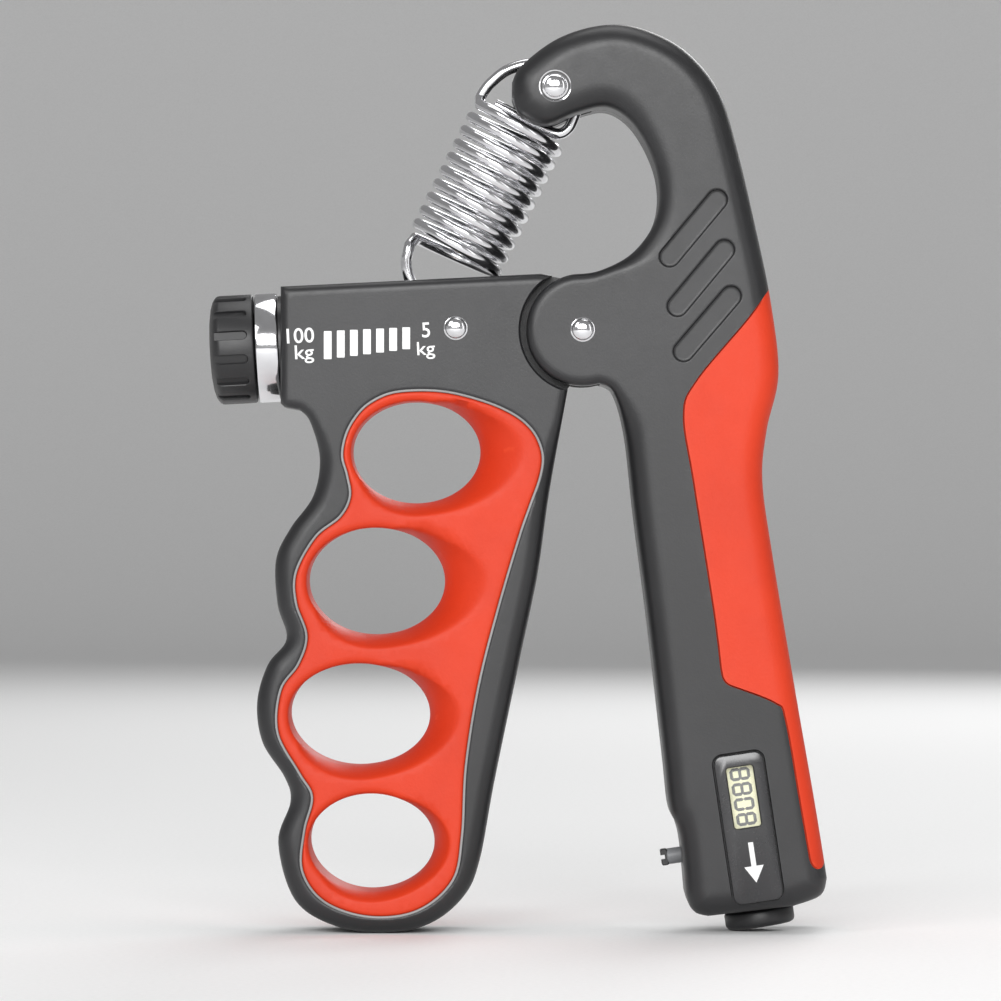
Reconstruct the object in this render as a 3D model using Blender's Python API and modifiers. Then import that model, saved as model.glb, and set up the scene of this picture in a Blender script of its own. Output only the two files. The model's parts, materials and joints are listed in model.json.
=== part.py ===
"""Adjustable hand grip strengthener with a squeeze counter.

Upright, +Z up, front towards -Y, mid-plane at y = 0. The finger handle and the palm handle turn on
one pivot; everything is placed from an empty on that pivot. Lengths in the tables are millimetres
from the pivot and are turned into metres by MM.
"""
import math

import bmesh
import bpy
from mathutils import Vector

MM = 0.001
GAP = 0.3                      # clearance between neighbouring pieces

# Driving dimensions, in millimetres
PIVOT_PLACE = (11.69, 0.0, 108.6)   # the pivot above the middle of the base of the bounding box
FINGER_HALF = 11.0             # half the finger handle's thickness
PALM_HALF = 12.5               # half the palm handle's thickness
RIM = 2.0                      # rounding of the handles' outer edges
HUB_RADIUS = 10.1
HUB_RECESS = 11.2              # clearance circle in the finger handle round the hub
TONGUE_RADIUS = 9.5
TONGUE_HALF = 5.5
CHEEK_INNER = 6.5              # inner face of the palm handle's two hub cheeks
BARREL_START = (-54.2, -2.9)   # left end of the barrel's axis
BARREL_TILT = math.radians(2.9)
SCREW_MAJOR, SCREW_CORE, SCREW_PITCH = 3.0, 2.25, 2.0
COIL_RADIUS, WIRE_RADIUS, COIL_PITCH = 8.3, 1.0, 2.62
COIL_TILT = math.radians(63.4)
COIL_FOOT = (-23.5, 13.4)      # centre of the lowest turn
LOWER_EYE = (-23.7, 12.6)      # centre of the lower hook's arc
CARRIER_PIN = (-26.39, 7.24)
SPRING_PIN = (-4.95, 43.7)
COUNTER_CENTRE = (29.7, -89.45)
COUNTER_TILT = math.radians(-8.5)
COUNTER_BAY_HALF = 9.0         # half depth of the hollow that holds the counter
BOARD_FACE = -6.9

COLOURS = {
    "shell_black": ((0.030, 0.030, 0.032), 0.48, 0.0),
    "grip_red": ((0.80, 0.075, 0.035), 0.62, 0.0),
    "chrome": ((0.80, 0.80, 0.82), 0.12, 1.0),
    "steel": ((0.55, 0.55, 0.56), 0.32, 1.0),
    "bronze": ((0.55, 0.38, 0.20), 0.40, 1.0),
    "knob_black": ((0.022, 0.022, 0.024), 0.42, 0.0),
    "label_black": ((0.016, 0.016, 0.018), 0.30, 0.0),
    "window_clear": ((0.85, 0.88, 0.86), 0.05, 0.0),
    "lcd_film": ((0.72, 0.71, 0.48), 0.40, 0.0),
    "board_green": ((0.02, 0.16, 0.07), 0.45, 0.0),
    "plunger_grey": ((0.35, 0.36, 0.38), 0.45, 0.0),
}

MODEL = bpy.data.collections.new("hand_grip_strengthener")
CUTTERS = bpy.data.collections.new("cutters")


# ---------------------------------------------------------------- outlines

def straight(*points):
    """A run of straight edges."""
    return list(points)


def smooth(points, steps=2, closed=False):
    """A smooth run through the points, as a Catmull-Rom curve."""
    count = len(points)
    spans = count if closed else count - 1
    run = []
    for index in range(spans):
        if closed:
            a, b, c, d = (points[(index + shift) % count] for shift in (-1, 0, 1, 2))
        else:
            a, b = points[max(index - 1, 0)], points[index]
            c, d = points[index + 1], points[min(index + 2, count - 1)]
        for step in range(steps):
            t = step / steps
            run.append(tuple(
                0.5 * (2 * q + (r - p) * t + (2 * p - 5 * q + 4 * r - s) * t * t
                       + (3 * q - p - 3 * r + s) * t ** 3)
                for p, q, r, s in zip(a, b, c, d)))
    if not closed:
        run.append(tuple(points[-1]))
    return run


def arc(centre, radius, start, end, steps):
    """Points on an arc, angles in degrees, anticlockwise when end is above start."""
    angles = [math.radians(start + (end - start) * step / steps) for step in range(steps + 1)]
    return [(centre[0] + radius * math.cos(a), centre[1] + radius * math.sin(a)) for a in angles]


def join(*runs):
    """One closed outline from runs that meet end to end."""
    outline = []
    for run in runs:
        for point in run:
            if not outline or math.dist(outline[-1], point) > 0.05:
                outline.append(point)
    if math.dist(outline[0], outline[-1]) < 0.05:
        outline.pop()
    return outline


def grow(outline, distance):
    """The outline moved outwards by a small distance, whichever way round it runs."""
    count = len(outline)
    area = sum(outline[i][0] * outline[(i + 1) % count][1] - outline[(i + 1) % count][0] * outline[i][1]
               for i in range(count))
    side = 1.0 if area > 0 else -1.0
    moved = []
    for i, (x, z) in enumerate(outline):
        before, after = outline[i - 1], outline[(i + 1) % count]
        run = Vector((after[0] - before[0], after[1] - before[1])).normalized()
        moved.append((x + side * distance * run.y, z - side * distance * run.x))
    return moved


def stadium(start, end, radius, steps=5):
    """A slot's outline: two half circles round the ends of a line."""
    heading = math.degrees(math.atan2(end[1] - start[1], end[0] - start[0]))
    return join(arc(end, radius, heading - 90, heading + 90, steps),
                arc(start, radius, heading + 90, heading + 270, steps))


def rounded_box(half_x, half_z, radius, centre=(0.0, 0.0), steps=3):
    """A rectangle with round corners."""
    x, z = half_x - radius, half_z - radius
    corners = ((x, z, 0), (-x, z, 90), (-x, -z, 180), (x, -z, 270))
    return join(*[arc((centre[0] + a, centre[1] + b), radius, turn, turn + 90, steps)
                  for a, b, turn in corners])


FINGER_EDGE = [(-2.6, -10.4), (-6.0, -29.4), (-8.1, -44.1), (-11.3, -59.4), (-15.8, -81.0),
               (-18.5, -95.4), (-21.4, -102.0), (-27.5, -106.9), (-35.6, -108.5), (-44.6, -107.3),
               (-51.8, -102.6), (-54.8, -92.3), (-52.6, -85.0), (-53.6, -80.6), (-57.6, -74.3),
               (-58.6, -67.1), (-56.7, -60.3), (-53.3, -55.6), (-54.9, -49.5), (-55.2, -41.4),
               (-52.6, -35.7), (-48.5, -29.9), (-47.3, -23.1), (-49.0, -16.6), (-50.9, -14.4)]
FINGER_OUTLINE = join(straight((-54.3, 7.8), (-7.5, 10.1)), arc((0, 0), TONGUE_RADIUS, 105, -100, 18),
                      smooth(FINGER_EDGE, 2), straight((-53.6, -13.9), (-54.3, -13.2)))
INSERT_OUTLINE = smooth([
    (-30.1, -10.6), (-20.4, -12.0), (-11.2, -15.6), (-7.8, -21.2), (-8.7, -28.9), (-11.7, -37.2),
    (-15.3, -50.4), (-18.7, -63.9), (-21.0, -78.3), (-21.7, -90.9), (-23.4, -99.0), (-29.7, -104.4),
    (-38.3, -105.5), (-46.4, -102.8), (-50.4, -97.2), (-50.0, -90.0), (-48.6, -84.0), (-50.9, -79.7),
    (-54.8, -72.5), (-54.3, -64.8), (-51.1, -60.1), (-49.6, -55.0), (-51.5, -49.1), (-51.5, -43.5),
    (-48.0, -37.2), (-42.7, -32.6), (-41.8, -27.5), (-43.4, -20.7), (-40.7, -14.9), (-33.9, -11.0),
], 2, closed=True)
# centre x, centre z, half width, half height, how far the mouth flares to the right and down
FINGER_HOLES = [(-30.0, -22.0, 11.6, 9.2, 8.0, 2.4), (-37.2, -45.3, 12.4, 9.7, 7.8, 2.4),
                (-40.2, -69.3, 12.7, 9.3, 5.6, 2.4), (-38.0, -92.3, 11.3, 8.9, 3.0, 1.8)]
PALM_OUTER = [(-12.7, 44.5), (-11.0, 47.6), (-4.6, 52.4), (3.0, 54.8), (10.1, 54.4), (18.2, 50.5),
              (24.3, 43.4), (27.6, 33.5), (31.4, 17.4), (34.0, 4.5), (35.3, -8.0), (33.2, -17.9),
              (32.4, -27.0), (34.2, -40.4), (38.6, -66.6), (41.9, -85.5), (44.0, -98.6)]
PALM_INNER = [(18.6, -101.5), (17.8, -93.0), (17.0, -89.2), (15.6, -85.8), (14.6, -76.8), (11.8, -52.6),
              (9.4, -34.0), (7.7, -19.0), (5.6, -11.4), (3.0, -9.7)]
PALM_ARCH = [(-1.75, 9.95), (3.0, 10.6), (8.7, 13.6), (12.7, 18.8), (13.8, 24.5), (12.6, 30.6),
             (9.0, 37.0), (4.4, 40.0), (-1.0, 39.0), (-6.4, 37.0), (-11.0, 38.6), (-12.7, 42.0)]
PALM_OUTLINE = join(smooth(PALM_OUTER, 2), straight((43.5, -100.9), (42.2, -102.1), (37.9, -103.7),
                                                    (22.6, -105.5), (20.4, -104.9), (19.3, -103.7)),
                    smooth(PALM_INNER, 2), arc((0, 0), HUB_RADIUS, -75, -258, 14),
                    smooth(PALM_ARCH, 2))
PAD_OUTLINE = join(smooth([(36.5, 11.2), (30.0, 2.3), (20.5, -9.1), (18.1, -15.3), (19.9, -27.5),
                           (23.5, -50.3), (24.8, -60.7)], 3),
                   smooth([(26.8, -64.0), (34.5, -67.0), (36.4, -70.0), (39.0, -84.8), (40.6, -93.6)], 2),
                   straight((42.2, -96.4), (47.0, -96.4), (47.0, 11.2)))
CORE_OUTLINE = join(smooth([(29.6, 2.0), (32.6, -6.0), (31.6, -13.0), (30.1, -20.0), (29.9, -27.0),
                            (31.7, -40.4), (36.1, -66.6), (39.2, -84.0)], 2),
                    straight((39.7, -88.0), (38.2, -88.6), (33.0, -74.0), (21.0, -62.0), (19.0, -46.0),
                             (15.8, -27.0), (14.6, -15.0), (18.0, -8.5)))
GROOVES = [((15.6, 13.1), (24.1, 23.3)), ((17.0, 4.2), (25.4, 14.3)), ((18.1, -3.9), (26.6, 6.0))]
HANDLE_HOLLOW = smooth([(12.0, -17.0), (22.0, -15.0), (27.0, -25.0), (30.0, -48.0), (31.0, -60.0),
                        (22.0, -61.0), (15.2, -52.0), (12.6, -34.0)], 2, closed=True)
HEAD_HOLLOW = smooth([(17.4, 19.0), (25.0, 23.0), (23.0, 35.0), (18.0, 43.5), (11.5, 47.5),
                      (11.0, 42.0), (16.6, 33.0)], 2, closed=True)
NOSE_SLOT = [(-15.0, 33.0), (1.7, 33.0), (1.7, 47.0), (-1.5, 50.2), (-6.5, 51.2), (-9.0, 56.0),
             (-15.0, 56.0)]


# ---------------------------------------------------------------- building blocks

def finish(name):
    """The material of one finish, made once."""
    if name in bpy.data.materials:
        return bpy.data.materials[name]
    colour, roughness, metallic = COLOURS[name]
    material = bpy.data.materials.new(name)
    material.use_nodes = True
    shader = material.node_tree.nodes["Principled BSDF"]
    shader.inputs["Base Color"].default_value = (*colour, 1.0)
    shader.inputs["Roughness"].default_value = roughness
    shader.inputs["Metallic"].default_value = metallic
    material.diffuse_color = (*colour, 1.0)
    return material


def frame_at(name, place, parent=None, tilt=0.0):
    """An empty at (x, z) in its parent's frame, turned by tilt about Y."""
    empty = bpy.data.objects.new(name, None)
    empty.location = (place[0] * MM, 0.0, place[1] * MM)
    empty.rotation_euler = (0.0, tilt, 0.0)
    empty.parent = parent
    MODEL.objects.link(empty)
    return empty


def add(name, mesh, parent, slot=None):
    """Put a mesh in the model, or among the cutters where no finish is given."""
    piece = bpy.data.objects.new(name, mesh)
    piece.parent = parent
    if slot is None:
        CUTTERS.objects.link(piece)
        piece.hide_render = True
        piece.display_type = "WIRE"
    else:
        MODEL.objects.link(piece)
        mesh.materials.clear()
        mesh.materials.append(finish(slot))
    return piece


def curve_mesh(curve):
    """The closed mesh of a curve, with its caps welded."""
    holder = bpy.data.objects.new(curve.name, curve)
    bpy.context.scene.collection.objects.link(holder)
    graph = bpy.context.evaluated_depsgraph_get()
    mesh = bpy.data.meshes.new_from_object(holder.evaluated_get(graph))
    mesh.name = curve.name
    bpy.data.objects.remove(holder)
    bpy.data.curves.remove(curve)
    work = bmesh.new()
    work.from_mesh(mesh)
    bmesh.ops.remove_doubles(work, verts=work.verts, dist=1e-6)
    bmesh.ops.recalc_face_normals(work, faces=work.faces)
    work.to_mesh(mesh)
    work.free()
    return mesh


def plate(name, outline, low, high, parent, slot=None, rim=0.0):
    """A flat outline in the XZ plane, from y = low to y = high, with rounded edges if rim is given."""
    curve = bpy.data.curves.new(name, "CURVE")
    curve.dimensions = "2D"
    curve.fill_mode = "BOTH"
    curve.extrude = ((high - low) / 2 - rim) * MM
    curve.bevel_depth = rim * MM
    curve.bevel_resolution = 1
    curve.offset = -rim * MM
    spline = curve.splines.new("POLY")
    spline.points.add(len(outline) - 1)
    for point, (x, z) in zip(spline.points, outline):
        point.co = (x * MM, z * MM, 0.0, 1.0)
    spline.use_cyclic_u = True
    piece = add(name, curve_mesh(curve), parent, slot)
    piece.rotation_euler = (math.pi / 2, 0.0, 0.0)
    piece.location = (0.0, (low + high) / 2 * MM, 0.0)
    return piece


def wire(name, points, radius, parent, slot, resolution=2):
    """A round wire along points given in millimetres."""
    curve = bpy.data.curves.new(name, "CURVE")
    curve.dimensions = "3D"
    curve.bevel_depth = radius * MM
    curve.bevel_resolution = resolution
    curve.use_fill_caps = True
    spline = curve.splines.new("POLY")
    spline.points.add(len(points) - 1)
    for point, place in zip(spline.points, points):
        point.co = (*(value * MM for value in place), 1.0)
    mesh = curve_mesh(curve)
    mesh.shade_smooth()
    return add(name, mesh, parent, slot)


def turned(name, profile, parent, slot=None, along="Y", place=(0.0, 0.0), steps=24):
    """A turned piece: profile of (radius, height) pairs, top to bottom down its outer side."""
    mesh = bpy.data.meshes.new(name)
    closed = profile[0][0] > 0.0
    edges = [(i, i + 1) for i in range(len(profile) - 1)] + ([(len(profile) - 1, 0)] if closed else [])
    mesh.from_pydata([(radius * MM, 0.0, height * MM) for radius, height in profile], edges, [])
    piece = add(name, mesh, parent, slot)
    screw = piece.modifiers.new("Turn", "SCREW")
    screw.steps = screw.render_steps = steps
    screw.use_merge_vertices = True
    screw.merge_threshold = 1e-6
    screw.use_smooth_shade = False
    turns = {"Y": (-math.pi / 2, 0.0, 0.0), "X": (0.0, math.pi / 2, 0.0), "Z": (0.0, 0.0, 0.0)}
    piece.rotation_euler = turns[along]
    piece.location = (place[0] * MM, 0.0, place[1] * MM)
    return piece


def block(name, low, high, parent, slot=None, bevel=0.0):
    """A box between two corners in millimetres, with bevelled edges if asked."""
    work = bmesh.new()
    bmesh.ops.create_cube(work, size=1.0)
    for vert in work.verts:
        vert.co = [(lo + (hi - lo) * (part + 0.5)) * MM for part, lo, hi in zip(vert.co, low, high)]
    mesh = bpy.data.meshes.new(name)
    work.to_mesh(mesh)
    work.free()
    piece = add(name, mesh, parent, slot)
    if bevel:
        edge = piece.modifiers.new("Edges", "BEVEL")
        edge.width = bevel * MM
        edge.segments = 2
    return piece


def loft(name, rings, parent, slot=None):
    """A closed solid through rings of equal point count, for sections that differ."""
    work = bmesh.new()
    loops = [[work.verts.new([value * MM for value in place]) for place in ring] for ring in rings]
    count = len(loops[0])
    for lower, upper in zip(loops, loops[1:]):
        for i in range(count):
            work.faces.new((lower[i], lower[(i + 1) % count], upper[(i + 1) % count], upper[i]))
    work.faces.new(loops[0])
    work.faces.new(loops[-1])
    bmesh.ops.recalc_face_normals(work, faces=work.faces)
    mesh = bpy.data.meshes.new(name)
    work.to_mesh(mesh)
    work.free()
    return add(name, mesh, parent, slot)


def boolean(piece, other, operation):
    """One exact boolean step on a piece."""
    step = piece.modifiers.new(other.name, "BOOLEAN")
    step.operation = operation
    step.object = other


def carve(piece, *cutters):
    """Take each cutter away from the piece."""
    for cutter in cutters:
        boolean(piece, cutter, "DIFFERENCE")


def rivet_profile(head, shaft, top, bottom, dome=0.9):
    """A drive rivet's profile with a domed head whose thin rim rests on the surface."""
    crown = [(head * math.sin(a), top + dome * math.cos(a)) for a in
             (math.radians(step * 90 / 4) for step in range(1, 5))]
    return [(0.0, top + dome), *crown, (head, top - 0.25), (shaft, top - 0.25), (shaft, bottom),
            (0.0, bottom)]


def mid_cutters(parent):
    """Half spaces that leave the front half or the rear half of a handle."""
    front = block("keep_front_half", (-90, -GAP / 2, -130), (80, 40, 80), parent)
    rear = block("keep_rear_half", (-90, -40, -130), (80, GAP / 2, 80), parent)
    return {"front": front, "rear": rear}


# ---------------------------------------------------------------- casing screws

SHANK, HEAD = 1.1, 2.0


def casing_screw(name, place, seat, parent):
    """A self-tapping screw put in from the rear, and the stepped hole that takes it."""
    profile = [(0.0, seat + 1.5), (HEAD, seat + 1.5), (HEAD, seat), (SHANK, seat), (SHANK, -5.0),
               (0.0, -6.5)]
    screw = turned(name, profile, parent, "steel", place=place, steps=16)
    slot = block(name + "_drive", (place[0] - 1.4, seat + 0.9, place[1] - 0.3),
                 (place[0] + 1.4, seat + 3.0, place[1] + 0.3), parent)
    carve(screw, slot)
    hole = turned(name + "_hole", [(0.0, 16.0), (HEAD + GAP, 16.0), (HEAD + GAP, seat - GAP),
                                   (SHANK + GAP, seat - GAP), (SHANK + GAP, -7.0), (0.0, -7.0)],
                  parent, place=place, steps=16)
    return hole


# ---------------------------------------------------------------- finger handle

def finger_hole(index, values, parent):
    """The tool for one finger hole: straight in the middle, flared to the right and down outside."""
    x, z, width, height, right, down = values
    rings = []
    for depth, share in ((-14.0, 1.25), (-10.7, 1.0), (-8.6, 0.55), (-5.8, 0.18), (-3.0, 0.0),
                         (3.0, 0.0), (5.8, 0.18), (8.6, 0.55), (10.7, 1.0), (14.0, 1.25)):
        ring = []
        for step in range(28):
            angle = 2 * math.pi * step / 28
            side, lift = math.cos(angle), math.sin(angle)
            ring.append((x + side * width + share * right * max(side, 0.0) ** 1.5, depth,
                         z + lift * height - share * down * max(-lift, 0.0) ** 1.5))
        rings.append(ring)
    return loft(f"finger_hole_{index}", rings, parent)


def barrel_cutters(barrel):
    """The hollows of the barrel: end bore, collar pocket, carrier track and the hook's slot."""
    return (
        turned("bearing_seat", [(0.0, 6.0), (4.8, 6.0), (4.8, -3.0), (0.0, -3.0)], barrel, along="X"),
        block("carrier_track", (2.9, -6.0, -6.2), (29.0, 6.0, 5.6), barrel),
        block("hook_slot", (4.4, -4.0, 0.0), (39.5, 4.0, 16.0), barrel),
    )


def finger_handle(root, barrel):
    """Two hollow shells round a soft insert with four finger holes."""
    halves = mid_cutters(root)
    insert_seat = plate("insert_seat", grow(INSERT_OUTLINE, GAP), -15, 15, root)
    recesses = [plate(f"hub_recess_{side}", arc((0, 0), HUB_RECESS, 0, 345, 23), low, high, root)
                for side, low, high in (("front", -15, -TONGUE_HALF), ("rear", TONGUE_HALF, 15))]
    pivot_hole = turned("pivot_bush_seat", [(0, 8), (3.0, 8), (3.0, -8), (0, -8)], root)
    stud_hole = turned("barrel_stud_hole", [(0, 14), (1.55, 14), (1.55, -14), (0, -14)], root,
                       place=(-22.8, 0.3), steps=16)
    screw_holes = [casing_screw("finger_screw_left", (-47.6, -11.0), 6.5, root),
                   casing_screw("finger_screw_right", (-13.6, -8.6), 6.5, root)]
    hollows = barrel_cutters(barrel)
    for side in ("front", "rear"):
        shell = plate(f"finger_{side}_shell", FINGER_OUTLINE, -FINGER_HALF, FINGER_HALF, root,
                      "shell_black", rim=RIM)
        recess = recesses[0] if side == "front" else recesses[1]
        carve(shell, halves[side], insert_seat, recess, pivot_hole, stud_hole, *hollows, *screw_holes)
    insert = plate("finger_grip_insert", INSERT_OUTLINE, 0.3 - FINGER_HALF, FINGER_HALF - 0.3, root,
                   "grip_red")
    carve(insert, *[finger_hole(i + 1, values, root) for i, values in enumerate(FINGER_HOLES)])
    for side, turn in (("front", math.pi / 2), ("rear", -math.pi / 2)):
        stud = turned(f"barrel_stud_{side}", rivet_profile(2.15, 1.25, FINGER_HALF + 0.3, 4.9), root,
                      "chrome", place=(-22.8, 0.3), steps=20)
        stud.rotation_euler = (turn, 0.0, 0.0)
    turned("pivot_bush", [(2.7, 5.4), (2.7, -5.4), (1.9, -5.4), (1.9, 5.4)], root, "bronze")
    turned("adjuster_bearing", [(4.5, 2.6), (4.5, 0.0), (2.8, 0.0), (2.8, 2.6)], barrel, "bronze",
           along="X")


# ---------------------------------------------------------------- resistance adjuster

def adjuster(barrel):
    """Knob, bright ring and lead screw that turn together on the barrel's axis."""
    screw = turned("adjuster_screw", [(0.0, 27.4), (1.6, 27.4), (SCREW_CORE, 26.6), (SCREW_CORE, 4.1),
                                      (4.1, 4.1), (4.1, 3.2), (2.5, 3.2), (2.5, -8.6), (0.0, -8.6)],
                   barrel, "steel", along="X", steps=18)
    turns, steps = 10.5, 8
    thread = []
    for step in range(int(turns * steps) + 1):
        angle = 2 * math.pi * step / steps
        thread.append((5.6 + SCREW_PITCH * step / steps, 2.5 * math.cos(angle), 2.5 * math.sin(angle)))
    ridge = wire("thread_ridge", thread, 0.5, barrel, "steel", resolution=0)
    MODEL.objects.unlink(ridge)
    CUTTERS.objects.link(ridge)
    ridge.hide_render = True
    ridge.display_type = "WIRE"
    boolean(screw, ridge, "UNION")

    turned("adjuster_ring", [(9.8, -1.3), (9.8, -4.6), (5.2, -4.6), (5.2, -1.3)], barrel, "chrome",
           along="X", steps=40)
    knob = turned("adjuster_knob", [(0.0, -4.9), (9.3, -4.9), (9.8, -5.4), (9.8, -11.4), (9.2, -12.3),
                                    (6.0, -12.9), (0.0, -13.2)], barrel, "knob_black", along="X",
                  steps=40)
    bore = turned("knob_bore", [(0.0, 0.0), (2.8, 0.0), (2.8, -9.0), (0.0, -9.0)], barrel, along="X")
    carve(knob, bore)
    flutes = 10
    for index in range(flutes):
        angle = 2 * math.pi * (index + 0.5) / flutes
        flute = block(f"knob_flute_{index}", (-11.0, -1.3, 9.2), (-6.2, 1.3, 12.0), barrel)
        flute.rotation_euler = (angle, 0.0, 0.0)
        carve(knob, flute)


def carrier(barrel, root):
    """The sliding nut, its hook pin and the grooved saddle that the hook rides on."""
    body = block("spring_carrier", (20.4, -5.5, -5.6), (27.2, 5.5, 4.6), barrel, "steel", bevel=0.4)
    ears = block("carrier_ears", (20.9, -3.6, 4.0), (29.6, 3.6, 10.2), barrel)
    boolean(body, ears, "UNION")
    carve(body, block("ear_gap", (18.0, -1.7, 3.8), (34.0, 1.7, 14.0), barrel),
          turned("thread_clearance", [(0, 40), (3.4, 40), (3.4, 10), (0, 10)], barrel, along="X"),
          turned("carrier_pin_hole", [(0, 6), (1.05, 6), (1.05, -6), (0, -6)], root,
                 place=CARRIER_PIN, steps=16))
    turned("carrier_pin", [(0, 3.6), (0.75, 3.6), (0.75, -3.6), (0, -3.6)], root, "steel",
           place=CARRIER_PIN, steps=16)
    turned("hook_saddle", [(1.45, 1.4), (1.2, 0.9), (1.2, -0.9), (1.45, -1.4), (1.0, -1.4), (1.0, 1.4)],
           root, "bronze", place=CARRIER_PIN, steps=16)


# ---------------------------------------------------------------- spring

UP = (math.cos(COIL_TILT), math.sin(COIL_TILT))
ACROSS = (math.sin(COIL_TILT), -math.cos(COIL_TILT))
COIL_TURNS = 9.0


def coil_point(turn, radius=COIL_RADIUS):
    """A point of the coil's wire; whole turns are at its left side, halves at its right."""
    angle = 2 * math.pi * turn + math.pi
    lift = COIL_PITCH * turn
    reach, depth = radius * math.cos(angle), radius * math.sin(angle)
    return (COIL_FOOT[0] + UP[0] * lift + ACROSS[0] * reach, -depth,
            COIL_FOOT[1] + UP[1] * lift + ACROSS[1] * reach)


def spring(root):
    """The extension spring in five lengths: two hooks and three thirds of the coil."""
    lower = [(*coil_point(0.0)[:1], 0.0, coil_point(0.0)[2] - 1.0)]
    lower += [(x, 0.0, z) for x, z in arc(LOWER_EYE, COIL_RADIUS, 170, 322, 14)]
    wire("spring_lower_hook", lower, WIRE_RADIUS, root, "chrome")
    third = COIL_TURNS / 3
    count = round(third * 12)
    for index, name in enumerate(("spring_lower_coils", "spring_middle_coils", "spring_upper_coils")):
        start = index * third + (0.04 if index == 0 else 0.01)
        end = (index + 1) * third - (0.04 if index == 2 else 0.01)
        points = [coil_point(start + (end - start) * i / count) for i in range(count + 1)]
        wire(name, points, WIRE_RADIUS, root, "chrome")
    top = coil_point(COIL_TURNS)
    loop = smooth([(top[0] + 0.35, top[2] + 1.3), (-18.9, 41.5), (-16.9, 45.0), (-13.6, 47.5),
                   (-9.5, 48.6), (-5.4, 48.2), (-2.2, 46.6), (-0.8, 43.8), (-0.9, 40.6), (-1.9, 37.6)], 2)
    loop += [(-3.0, 36.3), (-4.6, 35.9), (-6.2, 36.4), (-15.7, 41.1)]
    wire("spring_upper_hook", [(x, 0.0, z) for x, z in loop], WIRE_RADIUS, root, "chrome")


# ---------------------------------------------------------------- palm handle

def in_counter(x, z):
    """A place in the counter's tilted frame, in the pivot's frame."""
    cos, sin = math.cos(COUNTER_TILT), math.sin(COUNTER_TILT)
    return (COUNTER_CENTRE[0] + x * cos + z * sin, COUNTER_CENTRE[1] - x * sin + z * cos)


LABEL = rounded_box(4.4, 13.4, 1.5)
WINDOW_CENTRE = 5.6
KNOB_RADIUS = 6.3


def palm_handle(root, counter):
    """Two hollow shells with a clevis for the pivot, a forked nose, grooves and a soft pad."""
    halves = mid_cutters(root)
    pad_seat = plate("pad_seat", grow(PAD_OUTLINE, GAP), -16, 16, root)
    core = plate("pad_core", CORE_OUTLINE, -9.8, 9.8, root)
    hollows = [plate("handle_hollow", HANDLE_HOLLOW, -8.0, 8.0, root),
               plate("head_hollow", HEAD_HOLLOW, -9.0, 9.0, root),
               plate("counter_bay", rounded_box(9.0, 11.6, 1.0, centre=(-0.9, 0.6)), -COUNTER_BAY_HALF,
                     COUNTER_BAY_HALF, counter)]
    shared = [
        plate("tongue_slot", arc((0, 0), TONGUE_RADIUS + 0.8, 0, 345, 23), -CHEEK_INNER, CHEEK_INNER,
              root),
        plate("nose_slot", NOSE_SLOT, -1.7, 1.7, root),
        turned("pivot_hole", [(0, 15), (1.9, 15), (1.9, -15), (0, -15)], root, steps=16),
        turned("spring_pin_hole", [(0, 15), (1.6, 15), (1.6, -15), (0, -15)], root, place=SPRING_PIN,
               steps=16),
        turned("plunger_bore", [(0, -8.0), (1.75, -8.0), (1.75, -18.0), (0, -18.0)], counter, along="X",
               place=(0.0, -3.6), steps=16),
        turned("stem_bore", [(0, -9.0), (3.1, -9.0), (3.1, -11.9), (2.0, -11.9), (2.0, -13.2),
                             (KNOB_RADIUS + 0.4, -13.2), (KNOB_RADIUS + 0.4, -22.0), (0, -22.0)],
               counter, along="Z", steps=32),
        casing_screw("palm_screw_head", (3.0, 47.5), 8.0, root),
        casing_screw("palm_screw_hub", (13.8, -7.4), 8.0, root),
        casing_screw("palm_screw_middle", (18.2, -66.5), 8.0, root),
        casing_screw("palm_screw_foot", in_counter(-9.2, -12.8), 8.0, root),
    ]
    front_only = [plate(f"groove_{i + 1}", stadium(start, end, 1.8), -16, 1.0 - PALM_HALF, root)
                  for i, (start, end) in enumerate(GROOVES)]
    front_only += [
        plate("label_seat", grow(LABEL, GAP), -16, 1.2 - PALM_HALF, counter),
        plate("window_opening", rounded_box(3.0, 6.1, 0.5, centre=(0, WINDOW_CENTRE)), -16, -8.0,
              counter),
    ]
    rear_only = [turned("battery_opening", [(0, 16), (7.6, 16), (7.6, 11.4), (6.6, 11.4), (6.6, 8.0),
                                            (0, 8.0)], counter, place=(1.9, 2.0), steps=32)]
    for side, extra in (("front", front_only), ("rear", rear_only)):
        shell = plate(f"palm_{side}_shell", PALM_OUTLINE, -PALM_HALF, PALM_HALF, root, "shell_black",
                      rim=RIM)
        carve(shell, pad_seat)
        boolean(shell, core, "UNION")
        carve(shell, halves[side], *hollows, *shared, *extra)
    pad = plate("palm_grip_pad", PALM_OUTLINE, -PALM_HALF, PALM_HALF, root, "grip_red", rim=RIM)
    pad_space = plate("pad_space", PAD_OUTLINE, -16, 16, root)
    boolean(pad, pad_space, "INTERSECT")
    carve(pad, plate("core_clearance", grow(CORE_OUTLINE, GAP), -9.8 - GAP, 9.8 + GAP, root))


def rivet(name, place, head, shaft, root):
    """A through rivet with a domed head at both faces of the palm handle."""
    half = PALM_HALF + 0.3
    outer = rivet_profile(head, shaft, half, 0.0)[:-2]
    profile = outer + [(radius, -height) for radius, height in reversed(outer)]
    turned(name, profile, root, "chrome", place=place, steps=20)


def palm_fittings(root):
    """Rivets and washers of the palm handle."""
    rivet("pivot_rivet", (0.0, 0.0), 2.2, 1.5, root)
    rivet("spring_rivet", SPRING_PIN, 2.6, 1.3, root)
    for side, sign in (("front", -1), ("rear", 1)):
        near, far = sorted((sign * 5.8, sign * 6.2))
        turned(f"pivot_washer_{side}", [(5.0, far), (5.0, near), (1.9, near), (1.9, far)], root, "steel",
               steps=24)


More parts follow.
